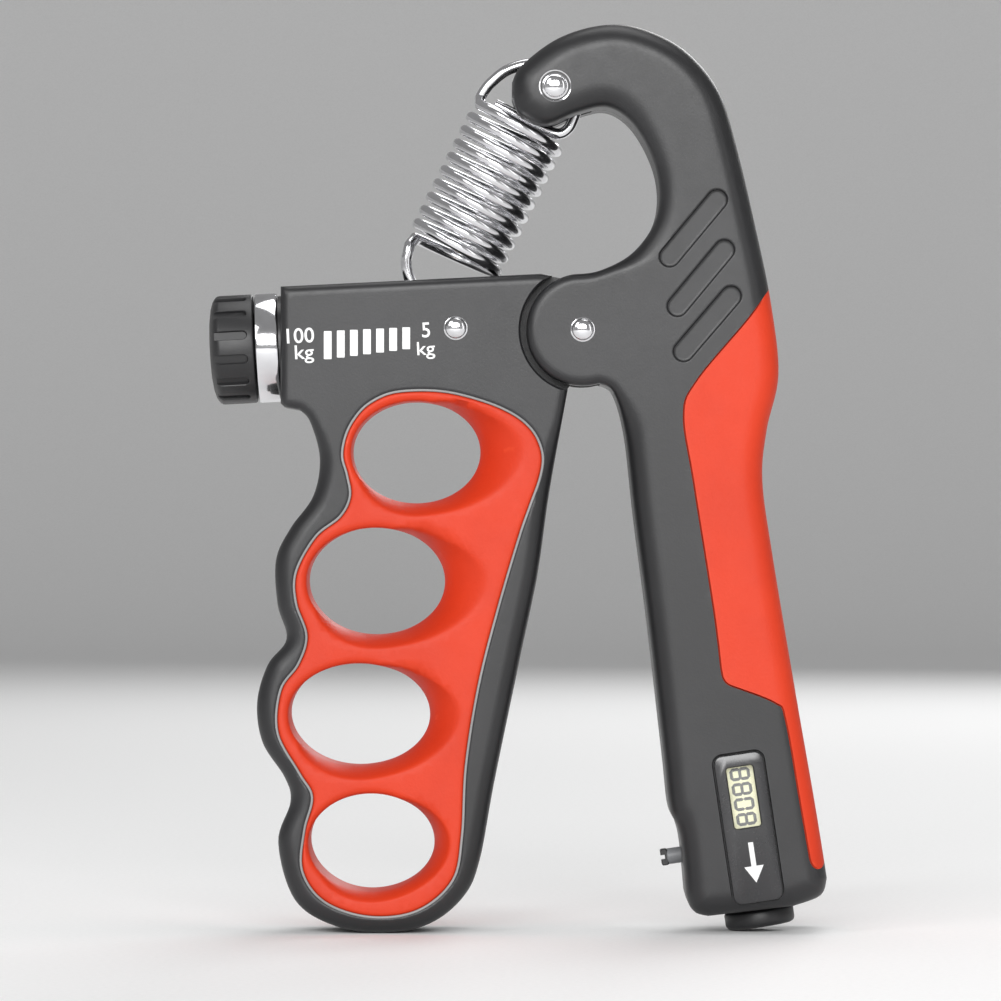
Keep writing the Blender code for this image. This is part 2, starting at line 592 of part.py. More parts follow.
# ---------------------------------------------------------------- counter

def counter_parts(counter):
    """Label, window, display, board, cell and switches, in the counter's tilted frame."""
    label = plate("counter_label", LABEL, -PALM_HALF - 0.1, 0.9 - PALM_HALF, counter, "label_black")
    carve(label, plate("label_window", rounded_box(2.4, 5.5, 0.4, centre=(0, WINDOW_CENTRE)), -16, -9,
                       counter))
    low, high = WINDOW_CENTRE - 5.8, WINDOW_CENTRE + 5.8
    block("lcd_window", (-2.7, -11.2, low), (2.7, -10.2, high), counter, "window_clear")
    block("lcd_panel", (-2.7, -9.9, low), (2.7, -8.3, high), counter, "lcd_film")
    block("circuit_board", (-6.0, -7.9, -8.5), (6.0, BOARD_FACE, 11.0), counter, "board_green")
    block("count_switch", (-5.0, BOARD_FACE + GAP, -6.0), (-2.4, 1.6, -1.2), counter, "label_black",
          bevel=0.3)
    block("reset_switch", (-2.0, BOARD_FACE + GAP, -9.2), (2.0, 1.6, -6.6), counter, "label_black",
          bevel=0.3)
    place = (1.9, 2.0)
    turned("cell_contact", [(0, 2.8), (4.2, 2.8), (4.2, 2.2), (0, 2.2)], counter, "steel", place=place)
    turned("button_cell", [(0, 8.5), (5.2, 8.5), (5.8, 7.9), (5.8, 3.2), (0, 3.2)], counter, "chrome",
           place=place, steps=28)
    cover = turned("battery_cover", [(0, PALM_HALF), (7.3, PALM_HALF), (7.3, 11.7), (6.3, 11.7),
                                     (6.3, 9.0), (0, 9.0)], counter, "shell_black", place=place,
                   steps=32)
    carve(cover, block("coin_slot", (place[0] - 5.0, 11.5, place[1] - 0.8),
                       (place[0] + 5.0, 16.0, place[1] + 0.8), counter))


def count_plunger(counter):
    """The sprung plunger that the finger handle presses at the end of each squeeze."""
    axis = frame_at("plunger_axis", (0.0, -3.6), counter)
    turned("count_plunger", [(0, -7.4), (0.9, -7.4), (0.9, -8.5), (2.5, -8.5), (2.5, -9.5),
                             (1.45, -9.5), (1.45, -14.5), (0, -14.5)], axis, "plunger_grey",
           along="X", steps=20)
    tip = block("plunger_tip", (-16.1, -1.2, -1.5), (-14.8, 1.2, 1.5), axis, "knob_black", bevel=0.2)
    carve(tip, block("prong_gap", (-17.0, -3.0, -0.45), (-15.5, 3.0, 0.45), axis))
    coil("plunger_spring", axis, start=-8.3, length=3.0, radius=1.9, wire_radius=0.2, turns=3.5,
         heading="X")


def coil(name, parent, start, length, radius, wire_radius, turns, heading):
    """A small compression spring along X or Z of its parent."""
    steps = round(turns * 10)
    points = []
    for step in range(steps + 1):
        angle = 2 * math.pi * turns * step / steps
        side, depth = radius * math.cos(angle), radius * math.sin(angle)
        along = start + length * step / steps
        points.append((along, depth, side) if heading == "X" else (side, depth, along))
    return wire(name, points, wire_radius, parent, "steel", resolution=0)


def reset_button(counter):
    """The push-and-turn reset: stem, skirt, cap and return spring under the palm handle."""
    turned("reset_stem", [(0, -10.9), (2.7, -10.9), (2.7, -11.6), (1.6, -11.6), (1.6, -16.8), (0, -16.8)],
           counter, "steel", along="Z", steps=20)
    turned("reset_skirt", [(3.7, -15.3), (KNOB_RADIUS - 0.4, -15.3), (KNOB_RADIUS, -15.7),
                           (KNOB_RADIUS, -16.8), (3.7, -16.8)], counter, "knob_black", along="Z",
           steps=32)
    turned("reset_cap", [(0, -17.1), (KNOB_RADIUS, -17.1), (KNOB_RADIUS, -18.0),
                         (KNOB_RADIUS - 0.6, -18.5), (0, -18.5)], counter, "knob_black", along="Z",
           steps=32)
    coil("reset_spring", counter, start=-16.6, length=3.0, radius=2.7, wire_radius=0.25, turns=4,
         heading="Z")


def main():
    """Build the whole grip strengthener."""
    for leftover in list(bpy.data.objects):
        bpy.data.objects.remove(leftover)
    for collection in (MODEL, CUTTERS):
        bpy.context.scene.collection.children.link(collection)
    root = frame_at("pivot", (PIVOT_PLACE[0], PIVOT_PLACE[2]))
    barrel = frame_at("barrel_axis", BARREL_START, root, -BARREL_TILT)
    counter = frame_at("counter_axis", COUNTER_CENTRE, root, COUNTER_TILT)
    finger_handle(root, barrel)
    adjuster(barrel)
    carrier(barrel, root)
    spring(root)
    palm_handle(root, counter)
    palm_fittings(root)
    counter_parts(counter)
    count_plunger(counter)
    reset_button(counter)


main()
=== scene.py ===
"""Looks of the adjustable hand grip strengthener with a squeeze counter.

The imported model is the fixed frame. Lengths in the classes are millimetres from the main pivot, with
X to the right, Y away from the front and Z up; a Place turns them into the frame's metres.
"""
from __future__ import annotations

import json
import logging
import math
from dataclasses import dataclass, field
from enum import Enum
from typing import Any, Callable, Sequence

import bmesh
import bpy
import numpy as np
from mathutils import Matrix, Vector, geometry

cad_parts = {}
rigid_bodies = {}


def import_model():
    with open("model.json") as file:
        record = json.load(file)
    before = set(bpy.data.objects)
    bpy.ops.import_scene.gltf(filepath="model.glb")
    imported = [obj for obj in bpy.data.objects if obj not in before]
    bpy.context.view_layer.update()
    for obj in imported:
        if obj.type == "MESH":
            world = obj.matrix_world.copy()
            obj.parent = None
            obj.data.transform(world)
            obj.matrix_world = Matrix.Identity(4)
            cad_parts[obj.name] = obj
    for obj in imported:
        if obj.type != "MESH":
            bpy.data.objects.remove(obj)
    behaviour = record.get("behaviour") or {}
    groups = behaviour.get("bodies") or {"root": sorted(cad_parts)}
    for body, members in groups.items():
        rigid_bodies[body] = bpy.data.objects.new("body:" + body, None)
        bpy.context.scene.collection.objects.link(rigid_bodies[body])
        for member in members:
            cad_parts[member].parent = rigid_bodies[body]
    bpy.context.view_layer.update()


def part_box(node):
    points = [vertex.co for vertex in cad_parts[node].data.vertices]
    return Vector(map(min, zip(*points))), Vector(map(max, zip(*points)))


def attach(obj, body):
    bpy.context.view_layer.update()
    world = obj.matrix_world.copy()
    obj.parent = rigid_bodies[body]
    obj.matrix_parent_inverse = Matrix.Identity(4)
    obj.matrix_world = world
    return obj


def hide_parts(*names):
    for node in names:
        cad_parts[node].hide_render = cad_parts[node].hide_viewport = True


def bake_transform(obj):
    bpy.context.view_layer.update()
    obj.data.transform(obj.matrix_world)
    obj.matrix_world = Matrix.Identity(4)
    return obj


LOG = logging.getLogger("grip")
MM = 0.001
Point = tuple[float, float]
Colour = tuple[float, float, float]
Array = np.ndarray


# ------------------------------------------------------------------ outlines

class Outline:
    """A closed outline in the XZ plane, in millimetres."""

    def __init__(self, points: Sequence[Point] | Array) -> None:
        """Keep the points anticlockwise.

        Args:
            points: the outline's corners in order, either way round.
        """
        corners = np.array(points, float)
        after = np.roll(corners, -1, axis=0)
        area = float(np.sum(corners[:, 0] * after[:, 1] - after[:, 0] * corners[:, 1]))
        self.points = corners if area > 0 else corners[::-1].copy()

    @staticmethod
    def smooth(points: Sequence[Point], steps: int = 8, closed: bool = False) -> list[Point]:
        """A Catmull-Rom run through the points.

        Args:
            points: the places that the run passes through.
            steps: samples on each span.
            closed: whether the run returns to its start.

        Returns:
            The sampled run.
        """
        count = len(points)
        run: list[Point] = []
        for index in range(count if closed else count - 1):
            picks = [index - 1, index, index + 1, index + 2]
            picks = [p % count for p in picks] if closed else [min(max(p, 0), count - 1) for p in picks]
            p, q, r, s = (np.array(points[k], float) for k in picks)
            for step in range(steps):
                t = step / steps
                value = 0.5 * (2 * q + (r - p) * t + (2 * p - 5 * q + 4 * r - s) * t * t
                               + (3 * q - p - 3 * r + s) * t ** 3)
                run.append((float(value[0]), float(value[1])))
        if not closed:
            run.append(points[-1])
        return run

    @staticmethod
    def arc(centre: Point, radius: float, start: float, end: float, steps: int) -> list[Point]:
        """Points on an arc between two angles in degrees."""
        angles = np.radians(np.linspace(start, end, steps + 1))
        return [(centre[0] + radius * math.cos(a), centre[1] + radius * math.sin(a)) for a in angles]

    @classmethod
    def join(cls, *runs: Sequence[Point], spacing: float = 0.9) -> "Outline":
        """One outline from runs that meet, with long edges divided.

        Args:
            runs: the stretches in order.
            spacing: the longest edge that is left.

        Returns:
            The joined outline.
        """
        merged: list[Point] = []
        for run in runs:
            for point in run:
                if not merged or math.dist(merged[-1], point) > 0.04:
                    merged.append(point)
        if math.dist(merged[0], merged[-1]) < 0.04:
            merged.pop()
        dense: list[Point] = []
        for a, b in zip(merged, merged[1:] + merged[:1]):
            parts = max(1, math.ceil(math.dist(a, b) / spacing))
            dense += [(a[0] + (b[0] - a[0]) * i / parts, a[1] + (b[1] - a[1]) * i / parts)
                      for i in range(parts)]
        return cls(dense)

    @classmethod
    def slot(cls, start: Point, end: Point, radius: float) -> "Outline":
        """A stadium round the line from start to end."""
        heading = math.degrees(math.atan2(end[1] - start[1], end[0] - start[0]))
        return cls.join(cls.arc(end, radius, heading - 90, heading + 90, 12),
                        cls.arc(start, radius, heading + 90, heading + 270, 12))

    @classmethod
    def box(cls, half_x: float, half_z: float, radius: float, centre: Point = (0.0, 0.0)) -> "Outline":
        """A rectangle with round corners."""
        x, z = half_x - radius, half_z - radius
        corners = ((x, z, 0), (-x, z, 90), (-x, -z, 180), (x, -z, 270))
        return cls.join(*[cls.arc((centre[0] + a, centre[1] + b), radius, turn, turn + 90, 6)
                          for a, b, turn in corners])

    @classmethod
    def circle(cls, centre: Point, radius: float, steps: int = 64) -> "Outline":
        """A circle."""
        return cls(cls.arc(centre, radius, 0, 360 * (1 - 1 / steps), steps - 1))

    def normals(self) -> Array:
        """Outward directions at the corners."""
        along = np.roll(self.points, -1, axis=0) - np.roll(self.points, 1, axis=0)
        along /= np.maximum(np.linalg.norm(along, axis=1, keepdims=True), 1e-9)
        return np.stack([along[:, 1], -along[:, 0]], axis=1)

    def grown(self, distance: float) -> "Outline":
        """The outline moved outwards."""
        return Outline(self.points + self.normals() * distance)

    def ring(self, depth: float) -> Array:
        """Points that lie depth inside the outline, leaving out those that a tight bend folds back."""
        moved = self.points - self.normals() * depth
        return moved[self.distance(moved) > abs(depth) * 0.97 - 1e-6]

    def distance(self, places: Array) -> Array:
        """Distance from each place to the outline."""
        start, end = self.points, np.roll(self.points, -1, axis=0)
        edge = end - start
        length = np.maximum(np.sum(edge * edge, axis=1), 1e-12)
        result = np.empty(len(places))
        for low in range(0, len(places), 1500):
            block = places[low:low + 1500, None, :] - start[None, :, :]
            share = np.clip(np.sum(block * edge, axis=2) / length, 0.0, 1.0)
            gap = block - share[..., None] * edge
            result[low:low + 1500] = np.sqrt(np.min(np.sum(gap * gap, axis=2), axis=1))
        return result

    def contains(self, places: Array) -> Array:
        """Whether each place is inside the outline."""
        start, end = self.points, np.roll(self.points, -1, axis=0)
        inside = np.zeros(len(places), bool)
        for (x1, z1), (x2, z2) in zip(start, end):
            if z1 == z2:
                continue
            crosses = (places[:, 1] < z1) != (places[:, 1] < z2)
            at = x1 + (places[:, 1] - z1) * (x2 - x1) / (z2 - z1)
            inside ^= crosses & (places[:, 0] < at)
        return inside


# ------------------------------------------------------------------ places and meshes

@dataclass(frozen=True)
class Place:
    """A local frame: its origin in millimetres from the pivot, and its turn about Y in degrees."""

    pivot: Vector
    x: float = 0.0
    z: float = 0.0
    turn: float = 0.0

    def matrix(self) -> Matrix:
        """Local millimetres to the frame's metres."""
        origin = self.pivot + Vector((self.x, 0.0, self.z)) * MM
        return (Matrix.Translation(origin) @ Matrix.Rotation(math.radians(self.turn), 4, "Y")
                @ Matrix.Diagonal((MM, MM, MM, 1.0)))

    def at(self, x: float, z: float, turn: float = 0.0) -> "Place":
        """A place within this one."""
        angle = math.radians(self.turn)
        return Place(self.pivot, self.x + x * math.cos(angle) + z * math.sin(angle),
                     self.z - x * math.sin(angle) + z * math.cos(angle), self.turn + turn)


class Mesher:
    """Builds closed meshes and cuts them."""

    @staticmethod
    def add(name: str, vertices: Sequence[Any] | Array, faces: Sequence[Sequence[int]], place: Place,
            angle: float = 40.0) -> bpy.types.Object:
        """Link a mesh whose vertices are local millimetres.

        Args:
            name: the object's name.
            vertices: places in millimetres.
            faces: corner numbers of each face.
            place: the frame they are given in.
            angle: edges sharper than this many degrees stay sharp.

        Returns:
            The new object, with its place in its mesh.
        """
        mesh = bpy.data.meshes.new(name)
        mesh.from_pydata([tuple(map(float, v)) for v in vertices], [],
                         [tuple(map(int, f)) for f in faces])
        mesh.transform(place.matrix())
        work = bmesh.new()
        work.from_mesh(mesh)
        bmesh.ops.recalc_face_normals(work, faces=work.faces)
        work.to_mesh(mesh)
        work.free()
        mesh.shade_smooth()
        mesh.set_sharp_from_angle(angle=math.radians(angle))
        piece = bpy.data.objects.new(name, mesh)
        bpy.context.scene.collection.objects.link(piece)
        return piece

    @classmethod
    def turned(cls, name: str, profile: Sequence[Point], place: Place, axis: str = "Y", steps: int = 64,
               angle: float = 35.0) -> bpy.types.Object:
        """A turned solid.

        Args:
            name: the object's name.
            profile: (radius, height) pairs; ends on the axis close it, other ends are joined up.
            place: the frame it stands in.
            axis: the local axis it turns on.
            steps: divisions round the axis.
            angle: edges sharper than this many degrees stay sharp.

        Returns:
            The solid.
        """
        order = {"X": (1, 2, 0), "Y": (2, 0, 1), "Z": (0, 1, 2)}[axis]
        vertices: list[list[float]] = []
        rings: list[list[int]] = []
        for radius, height in profile:
            ring = []
            for step in range(1 if radius < 1e-6 else steps):
                turn = 2 * math.pi * step / steps
                local = (radius * math.cos(turn), radius * math.sin(turn), height)
                place_of = [0.0, 0.0, 0.0]
                for source, target in enumerate(order):
                    place_of[target] = local[source]
                ring.append(len(vertices))
                vertices.append(place_of)
            rings.append(ring * steps if len(ring) == 1 else ring)
        pairs = list(zip(rings, rings[1:]))
        if profile[0][0] > 1e-6:
            pairs.append((rings[-1], rings[0]))
        faces = []
        for upper, lower in pairs:
            for i in range(steps):
                j = (i + 1) % steps
                corners = list(dict.fromkeys((upper[i], upper[j], lower[j], lower[i])))
                if len(corners) > 2:
                    faces.append(corners)
        return cls.add(name, vertices, faces, place, angle)

    @classmethod
    def tube(cls, name: str, path: Sequence[Sequence[float]], radius: float, place: Place,
             sides: int = 14) -> bpy.types.Object:
        """A round wire along a path, with slightly domed ends.

        Args:
            name: the object's name.
            path: places along the wire's middle.
            radius: the wire's radius.
            place: the frame of the path.
            sides: corners of its section.

        Returns:
            The wire.
        """
        points = [Vector(p) for p in path]
        tangents = [(points[min(i + 1, len(points) - 1)] - points[max(i - 1, 0)]).normalized()
                    for i in range(len(points))]
        side = tangents[0].orthogonal().normalized()
        vertices: list[Vector] = []
        for index, (point, tangent) in enumerate(zip(points, tangents)):
            if index:
                side = (tangents[index - 1].rotation_difference(tangent) @ side)
                side = (side - tangent * side.dot(tangent)).normalized()
            other = tangent.cross(side)
            vertices += [point + (side * math.cos(a) + other * math.sin(a)) * radius
                         for a in (2 * math.pi * k / sides for k in range(sides))]
        faces: list[list[int]] = []
        for index in range(len(points) - 1):
            base = index * sides
            faces += [[base + k, base + (k + 1) % sides, base + sides + (k + 1) % sides, base + sides + k]
                      for k in range(sides)]
        for end, step in ((0, -1.0), (len(points) - 1, 1.0)):
            vertices.append(points[end] + tangents[end] * radius * 0.25 * step)
            faces += [[end * sides + k, end * sides + (k + 1) % sides, len(vertices) - 1]
                      for k in range(sides)]
        return cls.add(name, vertices, faces, place, 50.0)

    @staticmethod
    def block(low: Sequence[float], high: Sequence[float], place: Place) -> bpy.types.Object:
        """A box used as a cutter, between two local corners."""
        corners = [(x, y, z) for x in (low[0], high[0]) for y in (low[1], high[1])
                   for z in (low[2], high[2])]
        faces = [(0, 1, 3, 2), (4, 6, 7, 5), (0, 4, 5, 1), (2, 3, 7, 6), (0, 2, 6, 4), (1, 5, 7, 3)]
        return Mesher.add("cutter", corners, faces, place)

    @staticmethod
    def prism(shape: Outline, low: float, high: float, place: Place) -> bpy.types.Object:
        """An outline from y = low to y = high, used as a cutter."""
        count = len(shape.points)
        corners = [(x, y, z) for y in (low, high) for x, z in shape.points]
        faces: list[list[int]] = [[i, (i + 1) % count, count + (i + 1) % count, count + i]
                                  for i in range(count)]
        faces += [list(range(count)), list(range(count, 2 * count))]
        return Mesher.add("cutter", corners, faces, place)

    @staticmethod
    def carve(piece: bpy.types.Object, cutters: Sequence[bpy.types.Object], angle: float = 40.0,
              operation: str = "DIFFERENCE") -> None:
        """Cut the piece and drop the cutters.

        Args:
            piece: the solid that is cut.
            cutters: solids that are taken away.
            angle: edges sharper than this many degrees stay sharp.
            operation: the boolean that is used.
        """
        for cutter in cutters:
            cut = piece.modifiers.new("cut", "BOOLEAN")
            cut.operation = operation
            cut.object = cutter
        graph = bpy.context.evaluated_depsgraph_get()
        mesh = bpy.data.meshes.new_from_object(piece.evaluated_get(graph))
        piece.modifiers.clear()
        piece.data = mesh
        for cutter in cutters:
            bpy.data.objects.remove(cutter)
        work = bmesh.new()
        work.from_mesh(mesh)
        bmesh.ops.remove_doubles(work, verts=work.verts, dist=2e-6)
        bmesh.ops.dissolve_degenerate(work, dist=1e-6, edges=work.edges)
        work.to_mesh(mesh)
        work.free()
        mesh.shade_smooth()
        mesh.set_sharp_from_angle(angle=math.radians(angle))


Rise = Callable[[Array], Array]


@dataclass
class Relief:
    """A moulded face: a flat region raised towards the front by a rule.

    Args:
        outer: the region's outline.
        rise: height of the front face above the mid-plane at each place.
        holes: outlines left open.
        rings: more points that the mesh passes through, where the rise changes quickly.
        creases: outlines that the mesh follows, where the rise has an edge.
        grid: spacing of the points between them.
    """

    outer: Outline
    rise: Rise
    holes: Sequence[Outline] = ()
    rings: Sequence[Array] = ()
    creases: Sequence[Outline] = ()
    grid: float = 3.0

    def mesh(self) -> tuple[Array, Array]:
        """Points of the region and the triangles between them."""
        loops = [self.outer, *self.holes, *self.creases]
        fixed = np.concatenate([loop.points for loop in loops])
        edges: list[tuple[int, int]] = []
        base = 0
        for loop in loops:
            count = len(loop.points)
            edges += [(base + i, base + (i + 1) % count) for i in range(count)]
            base += count
        low, high = self.outer.points.min(axis=0), self.outer.points.max(axis=0)
        xs, zs = np.arange(low[0], high[0], self.grid), np.arange(low[1], high[1], self.grid)
        lattice = np.array([(x + (i % 2) * self.grid / 2, z) for i, z in enumerate(zs) for x in xs])
        placed: set[tuple[int, int]] = set()
        extra: list[Array] = []
        for group, gap in [*((ring, 0.02) for ring in self.rings), (lattice, self.grid * 0.4)]:
            if not len(group):
                continue
            keep = self.outer.contains(group)
            near = self.outer.distance(group)
            for hole in self.holes:
                keep &= ~hole.contains(group)
                near = np.minimum(near, hole.distance(group))
            for crease in self.creases:
                near = np.minimum(near, crease.distance(group) + gap - 0.05)
            group = group[keep & (near > max(gap, 0.02))]
            cell = 0.06
            chosen = []
            for place in group:
                key = (round(place[0] / cell), round(place[1] / cell))
                if key not in placed:
                    placed.add(key)
                    chosen.append(place)
            if chosen:
                extra.append(np.array(chosen))
        points = np.concatenate([fixed, *extra])
        found = geometry.delaunay_2d_cdt([Vector(p) for p in points], edges, [], 0, 1e-7)
        flat = np.array([tuple(v) for v in found[0]])
        triangles = np.array([f for f in found[2] if len(f) == 3])
        centres = flat[triangles].mean(axis=1)
        keep = self.outer.contains(centres)
        for hole in self.holes:
            keep &= ~hole.contains(centres)
        return flat, triangles[keep]

    def solid(self, name: str, place: Place, back: float | None = None, front: bool = True,
              angle: float = 40.0) -> bpy.types.Object:
        """The closed solid.

        Args:
            name: the object's name.
            place: the frame of the outline.
            back: y of the back at its edge, or None for a piece that is the same at the rear.
            front: False turns the solid round to the rear.
            angle: edges sharper than this many degrees stay sharp.

        Returns:
            The solid.
        """
        flat, triangles = self.mesh()
        height = self.rise(flat)
        count = len(flat)
        face = np.stack([flat[:, 0], -height, flat[:, 1]], axis=1)
        if back is None:
            rear = face * (1, -1, 1)
        else:
            seam = np.where(self.outer.distance(flat) < 0.7, back, back * 0.1)
            rear = np.stack([flat[:, 0], seam, flat[:, 1]], axis=1)
        vertices = np.concatenate([face, rear])
        if not front:
            vertices = vertices * (1, -1, 1)
        faces = [list(t) for t in triangles] + [[t[2] + count, t[1] + count, t[0] + count]
                                                for t in triangles]
        border: dict[tuple[int, int], bool] = {}
        for a, b, c in triangles:
            for edge in ((a, b), (b, c), (c, a)):
                if (edge[1], edge[0]) in border:
                    del border[(edge[1], edge[0])]
                else:
                    border[edge] = True
        faces += [[b, a, a + count, b + count] for a, b in border]
        piece = Mesher.add(name, vertices, faces, place, angle)
        work = bmesh.new()
        work.from_mesh(piece.data)
        loose = [v for v in work.verts if not v.link_faces]
        bmesh.ops.delete(work, geom=loose, context="VERTS")
        work.to_mesh(piece.data)
        work.free()
        return piece


def rounded(distance: Array, radius: Array | float, height: float, power: float = 2.0) -> Array:
    """Height of a face whose edge is rounded.

    Args:
        distance: how far each place is inside the edge.
        radius: the rounding's width, which may vary.
        height: the height away from the edge.
        power: 2 for a circle, more for a fuller edge.

    Returns:
        The height at each place.
    """
    short = np.clip(1.0 - distance / radius, 0.0, 1.0)
    return height - radius + radius * (1.0 - short ** power) ** (1.0 / power)


def step(value: Array, low: float, high: float) -> Array:
    """Smooth 0 to 1 as value goes from low to high."""
    share = np.clip((value - low) / (high - low), 0.0, 1.0)
    return share * share * (3.0 - 2.0 * share)


# ------------------------------------------------------------------ shader maths

class Value:
    """A shader value: Python arithmetic on it adds Math nodes."""

    def __init__(self, graph: "Graph", socket: Any) -> None:
        """Wrap an output socket of the graph."""
        self.graph = graph
        self.socket = socket

    def _math(self, operation: str, *values: Any, clamp: bool = False) -> "Value":
        """One Math node on the values."""
        return self.graph.node("ShaderNodeMath", {"operation": operation, "use_clamp": clamp},
                               dict(enumerate(values)))

    def __add__(self, other: Any) -> "Value":
        """The sum."""
        return self._math("ADD", self, other)

    def __sub__(self, other: Any) -> "Value":
        """The difference."""
        return self._math("SUBTRACT", self, other)

    def __rsub__(self, other: Any) -> "Value":
        """The difference, the other way round."""
        return self._math("SUBTRACT", other, self)

    def __mul__(self, other: Any) -> "Value":
        """The product."""
        return self._math("MULTIPLY", self, other)

    __radd__ = __add__
    __rmul__ = __mul__

    def above(self, low: float, high: float) -> "Value":
        """Smooth 0 to 1 as the value goes from low to high."""
        return self.graph.node("ShaderNodeMapRange", {"interpolation_type": "SMOOTHSTEP"},
                               {0: self, 1: low, 2: high, 3: 0.0, 4: 1.0})

    def sine(self) -> "Value":
        """The sine."""
        return self._math("SINE", self)

    def limited(self) -> "Value":
        """The value kept within 0 and 1."""
        return self._math("ADD", self, 0.0, clamp=True)


class Graph:
    """The nodes of one material."""

    def __init__(self, name: str) -> None:
        """Start a material with a Principled shader."""
        self.material = bpy.data.materials.new(name)
        self.material.use_nodes = True
        self.tree = self.material.node_tree
        self.shader = self.tree.nodes["Principled BSDF"]

    def node(self, kind: str, settings: dict[str, Any] | None = None,
             inputs: dict[Any, Any] | None = None, output: Any = 0) -> Value:
        """Add any node.

        Args:
            kind: the node's type.
            settings: its own settings, set first; a list under "stops" fills a colour ramp.
            inputs: values or links for its sockets.
            output: the socket that is returned.

        Returns:
            The chosen output.
        """
        made = self.tree.nodes.new(kind)
        for key, setting in (settings or {}).items():
            if key == "stops":
                ramp = made.color_ramp
                while len(ramp.elements) < len(setting):
                    ramp.elements.new(0.5)
                for element, (position, shade) in zip(ramp.elements, setting):
                    element.position, element.color = position, (*shade, 1.0)
            else:
                setattr(made, key, setting)
        for key, value in (inputs or {}).items():
            self.feed(made.inputs[key], value)
        return Value(self, made.outputs[output])

    def feed(self, socket: Any, value: Any) -> None:
        """Link a value to a socket, or set it."""
        if isinstance(value, Value):
            self.tree.links.new(value.socket, socket)
        elif isinstance(value, tuple) and socket.type == "RGBA":
            socket.default_value = (*value, 1.0)[:4]
        else:
            socket.default_value = value

    def place(self) -> Value:
        """Object coordinates, in metres."""
        return self.node("ShaderNodeTexCoord", output="Object")

    def noise(self, scale: float, detail: float = 3.0, where: Value | None = None,
              roughness: float = 0.55) -> Value:
        """Noise from 0 to 1 with so many cells to the metre."""
        return self.node("ShaderNodeTexNoise", {"noise_dimensions": "3D"},
                         {"Vector": where or self.place(), "Scale": scale, "Detail": detail,
                          "Roughness": roughness})

    def stretched(self, scale: tuple[float, float, float]) -> Value:
        """Object coordinates scaled unevenly."""
        return self.node("ShaderNodeVectorMath", {"operation": "MULTIPLY"},
                         {0: self.place(), 1: scale})

    def axis(self, name: str) -> Value:
        """One object coordinate."""
        return self.node("ShaderNodeSeparateXYZ", None, {0: self.place()}, output=name)

    def mix(self, share: Any, a: Any, b: Any) -> Value:
        """A colour between a and b."""
        return self.node("ShaderNodeMix", {"data_type": "RGBA"}, {0: share, 6: a, 7: b}, output=2)

    def edge(self, width: float) -> Value:
        """About 1 on convex edges and 0 on flat faces, from the surface's bend within a width."""
        point = self.node("ShaderNodeNewGeometry", output="Pointiness")
        return point.above(0.5 + 0.02 * width, 0.5 + 0.10 * width)

    def bump(self, height: Value, distance: float, strength: float = 1.0) -> Value:
        """A normal from a height map of 0 to 1, so many metres high."""
        return self.node("ShaderNodeBump", None,
                         {"Strength": strength, "Distance": distance, "Height": height})

    def dress(self, **inputs: Any) -> None:
        """Set the shader's inputs, with underscores for spaces."""
        for key, value in inputs.items():
            self.feed(self.shader.inputs[key.replace("_", " ")], value)


@dataclass(frozen=True)
class Moulded:
    """Moulded plastic or rubber with a fine grain."""

    name: str
    colour: Colour
    shade: Colour
    roughness: float
    grain: float = 0.00002
    cells: float = 2600.0
    coat: float = 0.0
    shine: float = 0.5
    worn: Colour | None = None

    def make(self) -> bpy.types.Material:
        """The material."""
        graph = Graph(self.name)
        grain = graph.noise(self.cells, 2.0)
        cloud = graph.noise(55.0, 4.0)
        smear = graph.noise(320.0, 3.0)
        colour = graph.mix(cloud.above(0.35, 0.7), self.colour, self.shade)
        rough = self.roughness + (smear - 0.5) * 0.10 + (grain - 0.5) * 0.08
        if self.worn:
            edge = graph.edge(1.0) * smear.above(0.38, 0.62)
            colour = graph.mix(edge * 0.5, colour, self.worn)
            rough = rough - edge * 0.10
        graph.dress(Base_Color=colour, Roughness=rough.limited(), Normal=graph.bump(grain, self.grain),
                    Coat_Weight=self.coat, Coat_Roughness=0.25, Specular_IOR_Level=self.shine)
        return graph.material


@dataclass(frozen=True)
class Metal:
    """Bright or machined metal, with faint scratches and handling marks."""

    name: str
    colour: Colour
    roughness: float
    stretch: tuple[float, float, float] = (900.0, 900.0, 900.0)
    marks: float = 0.06
    scratch: float = 0.0000012

    def make(self) -> bpy.types.Material:
        """The material."""
        graph = Graph(self.name)
        fine = graph.noise(1.0, 4.0, graph.stretched(self.stretch), 0.7)
        cloud = graph.noise(150.0, 3.0)
        rough = self.roughness + (cloud - 0.45) * self.marks + (fine - 0.5) * self.marks
        darker = tuple(part * 0.82 for part in self.colour)
        graph.dress(Base_Color=graph.mix(cloud.above(0.3, 0.8), self.colour, darker), Metallic=1.0,
                    Roughness=rough.limited(), Normal=graph.bump(fine, self.scratch))
        return graph.material


@dataclass(frozen=True)
class Print:
    """Screen print: a thin matt ink with a slightly uneven edge in its gloss."""

    name: str
    colour: Colour
    roughness: float = 0.5

    def make(self) -> bpy.types.Material:
        """The material."""
        graph = Graph(self.name)
        speckle = graph.noise(4200.0, 2.0)
        thin = speckle.above(0.62, 0.8)
        darker = tuple(part * 0.72 for part in self.colour)
        graph.dress(Base_Color=graph.mix(thin, self.colour, darker),
                    Roughness=(self.roughness + (speckle - 0.5) * 0.15).limited(),
                    Normal=graph.bump(speckle, 0.000008))
        return graph.material


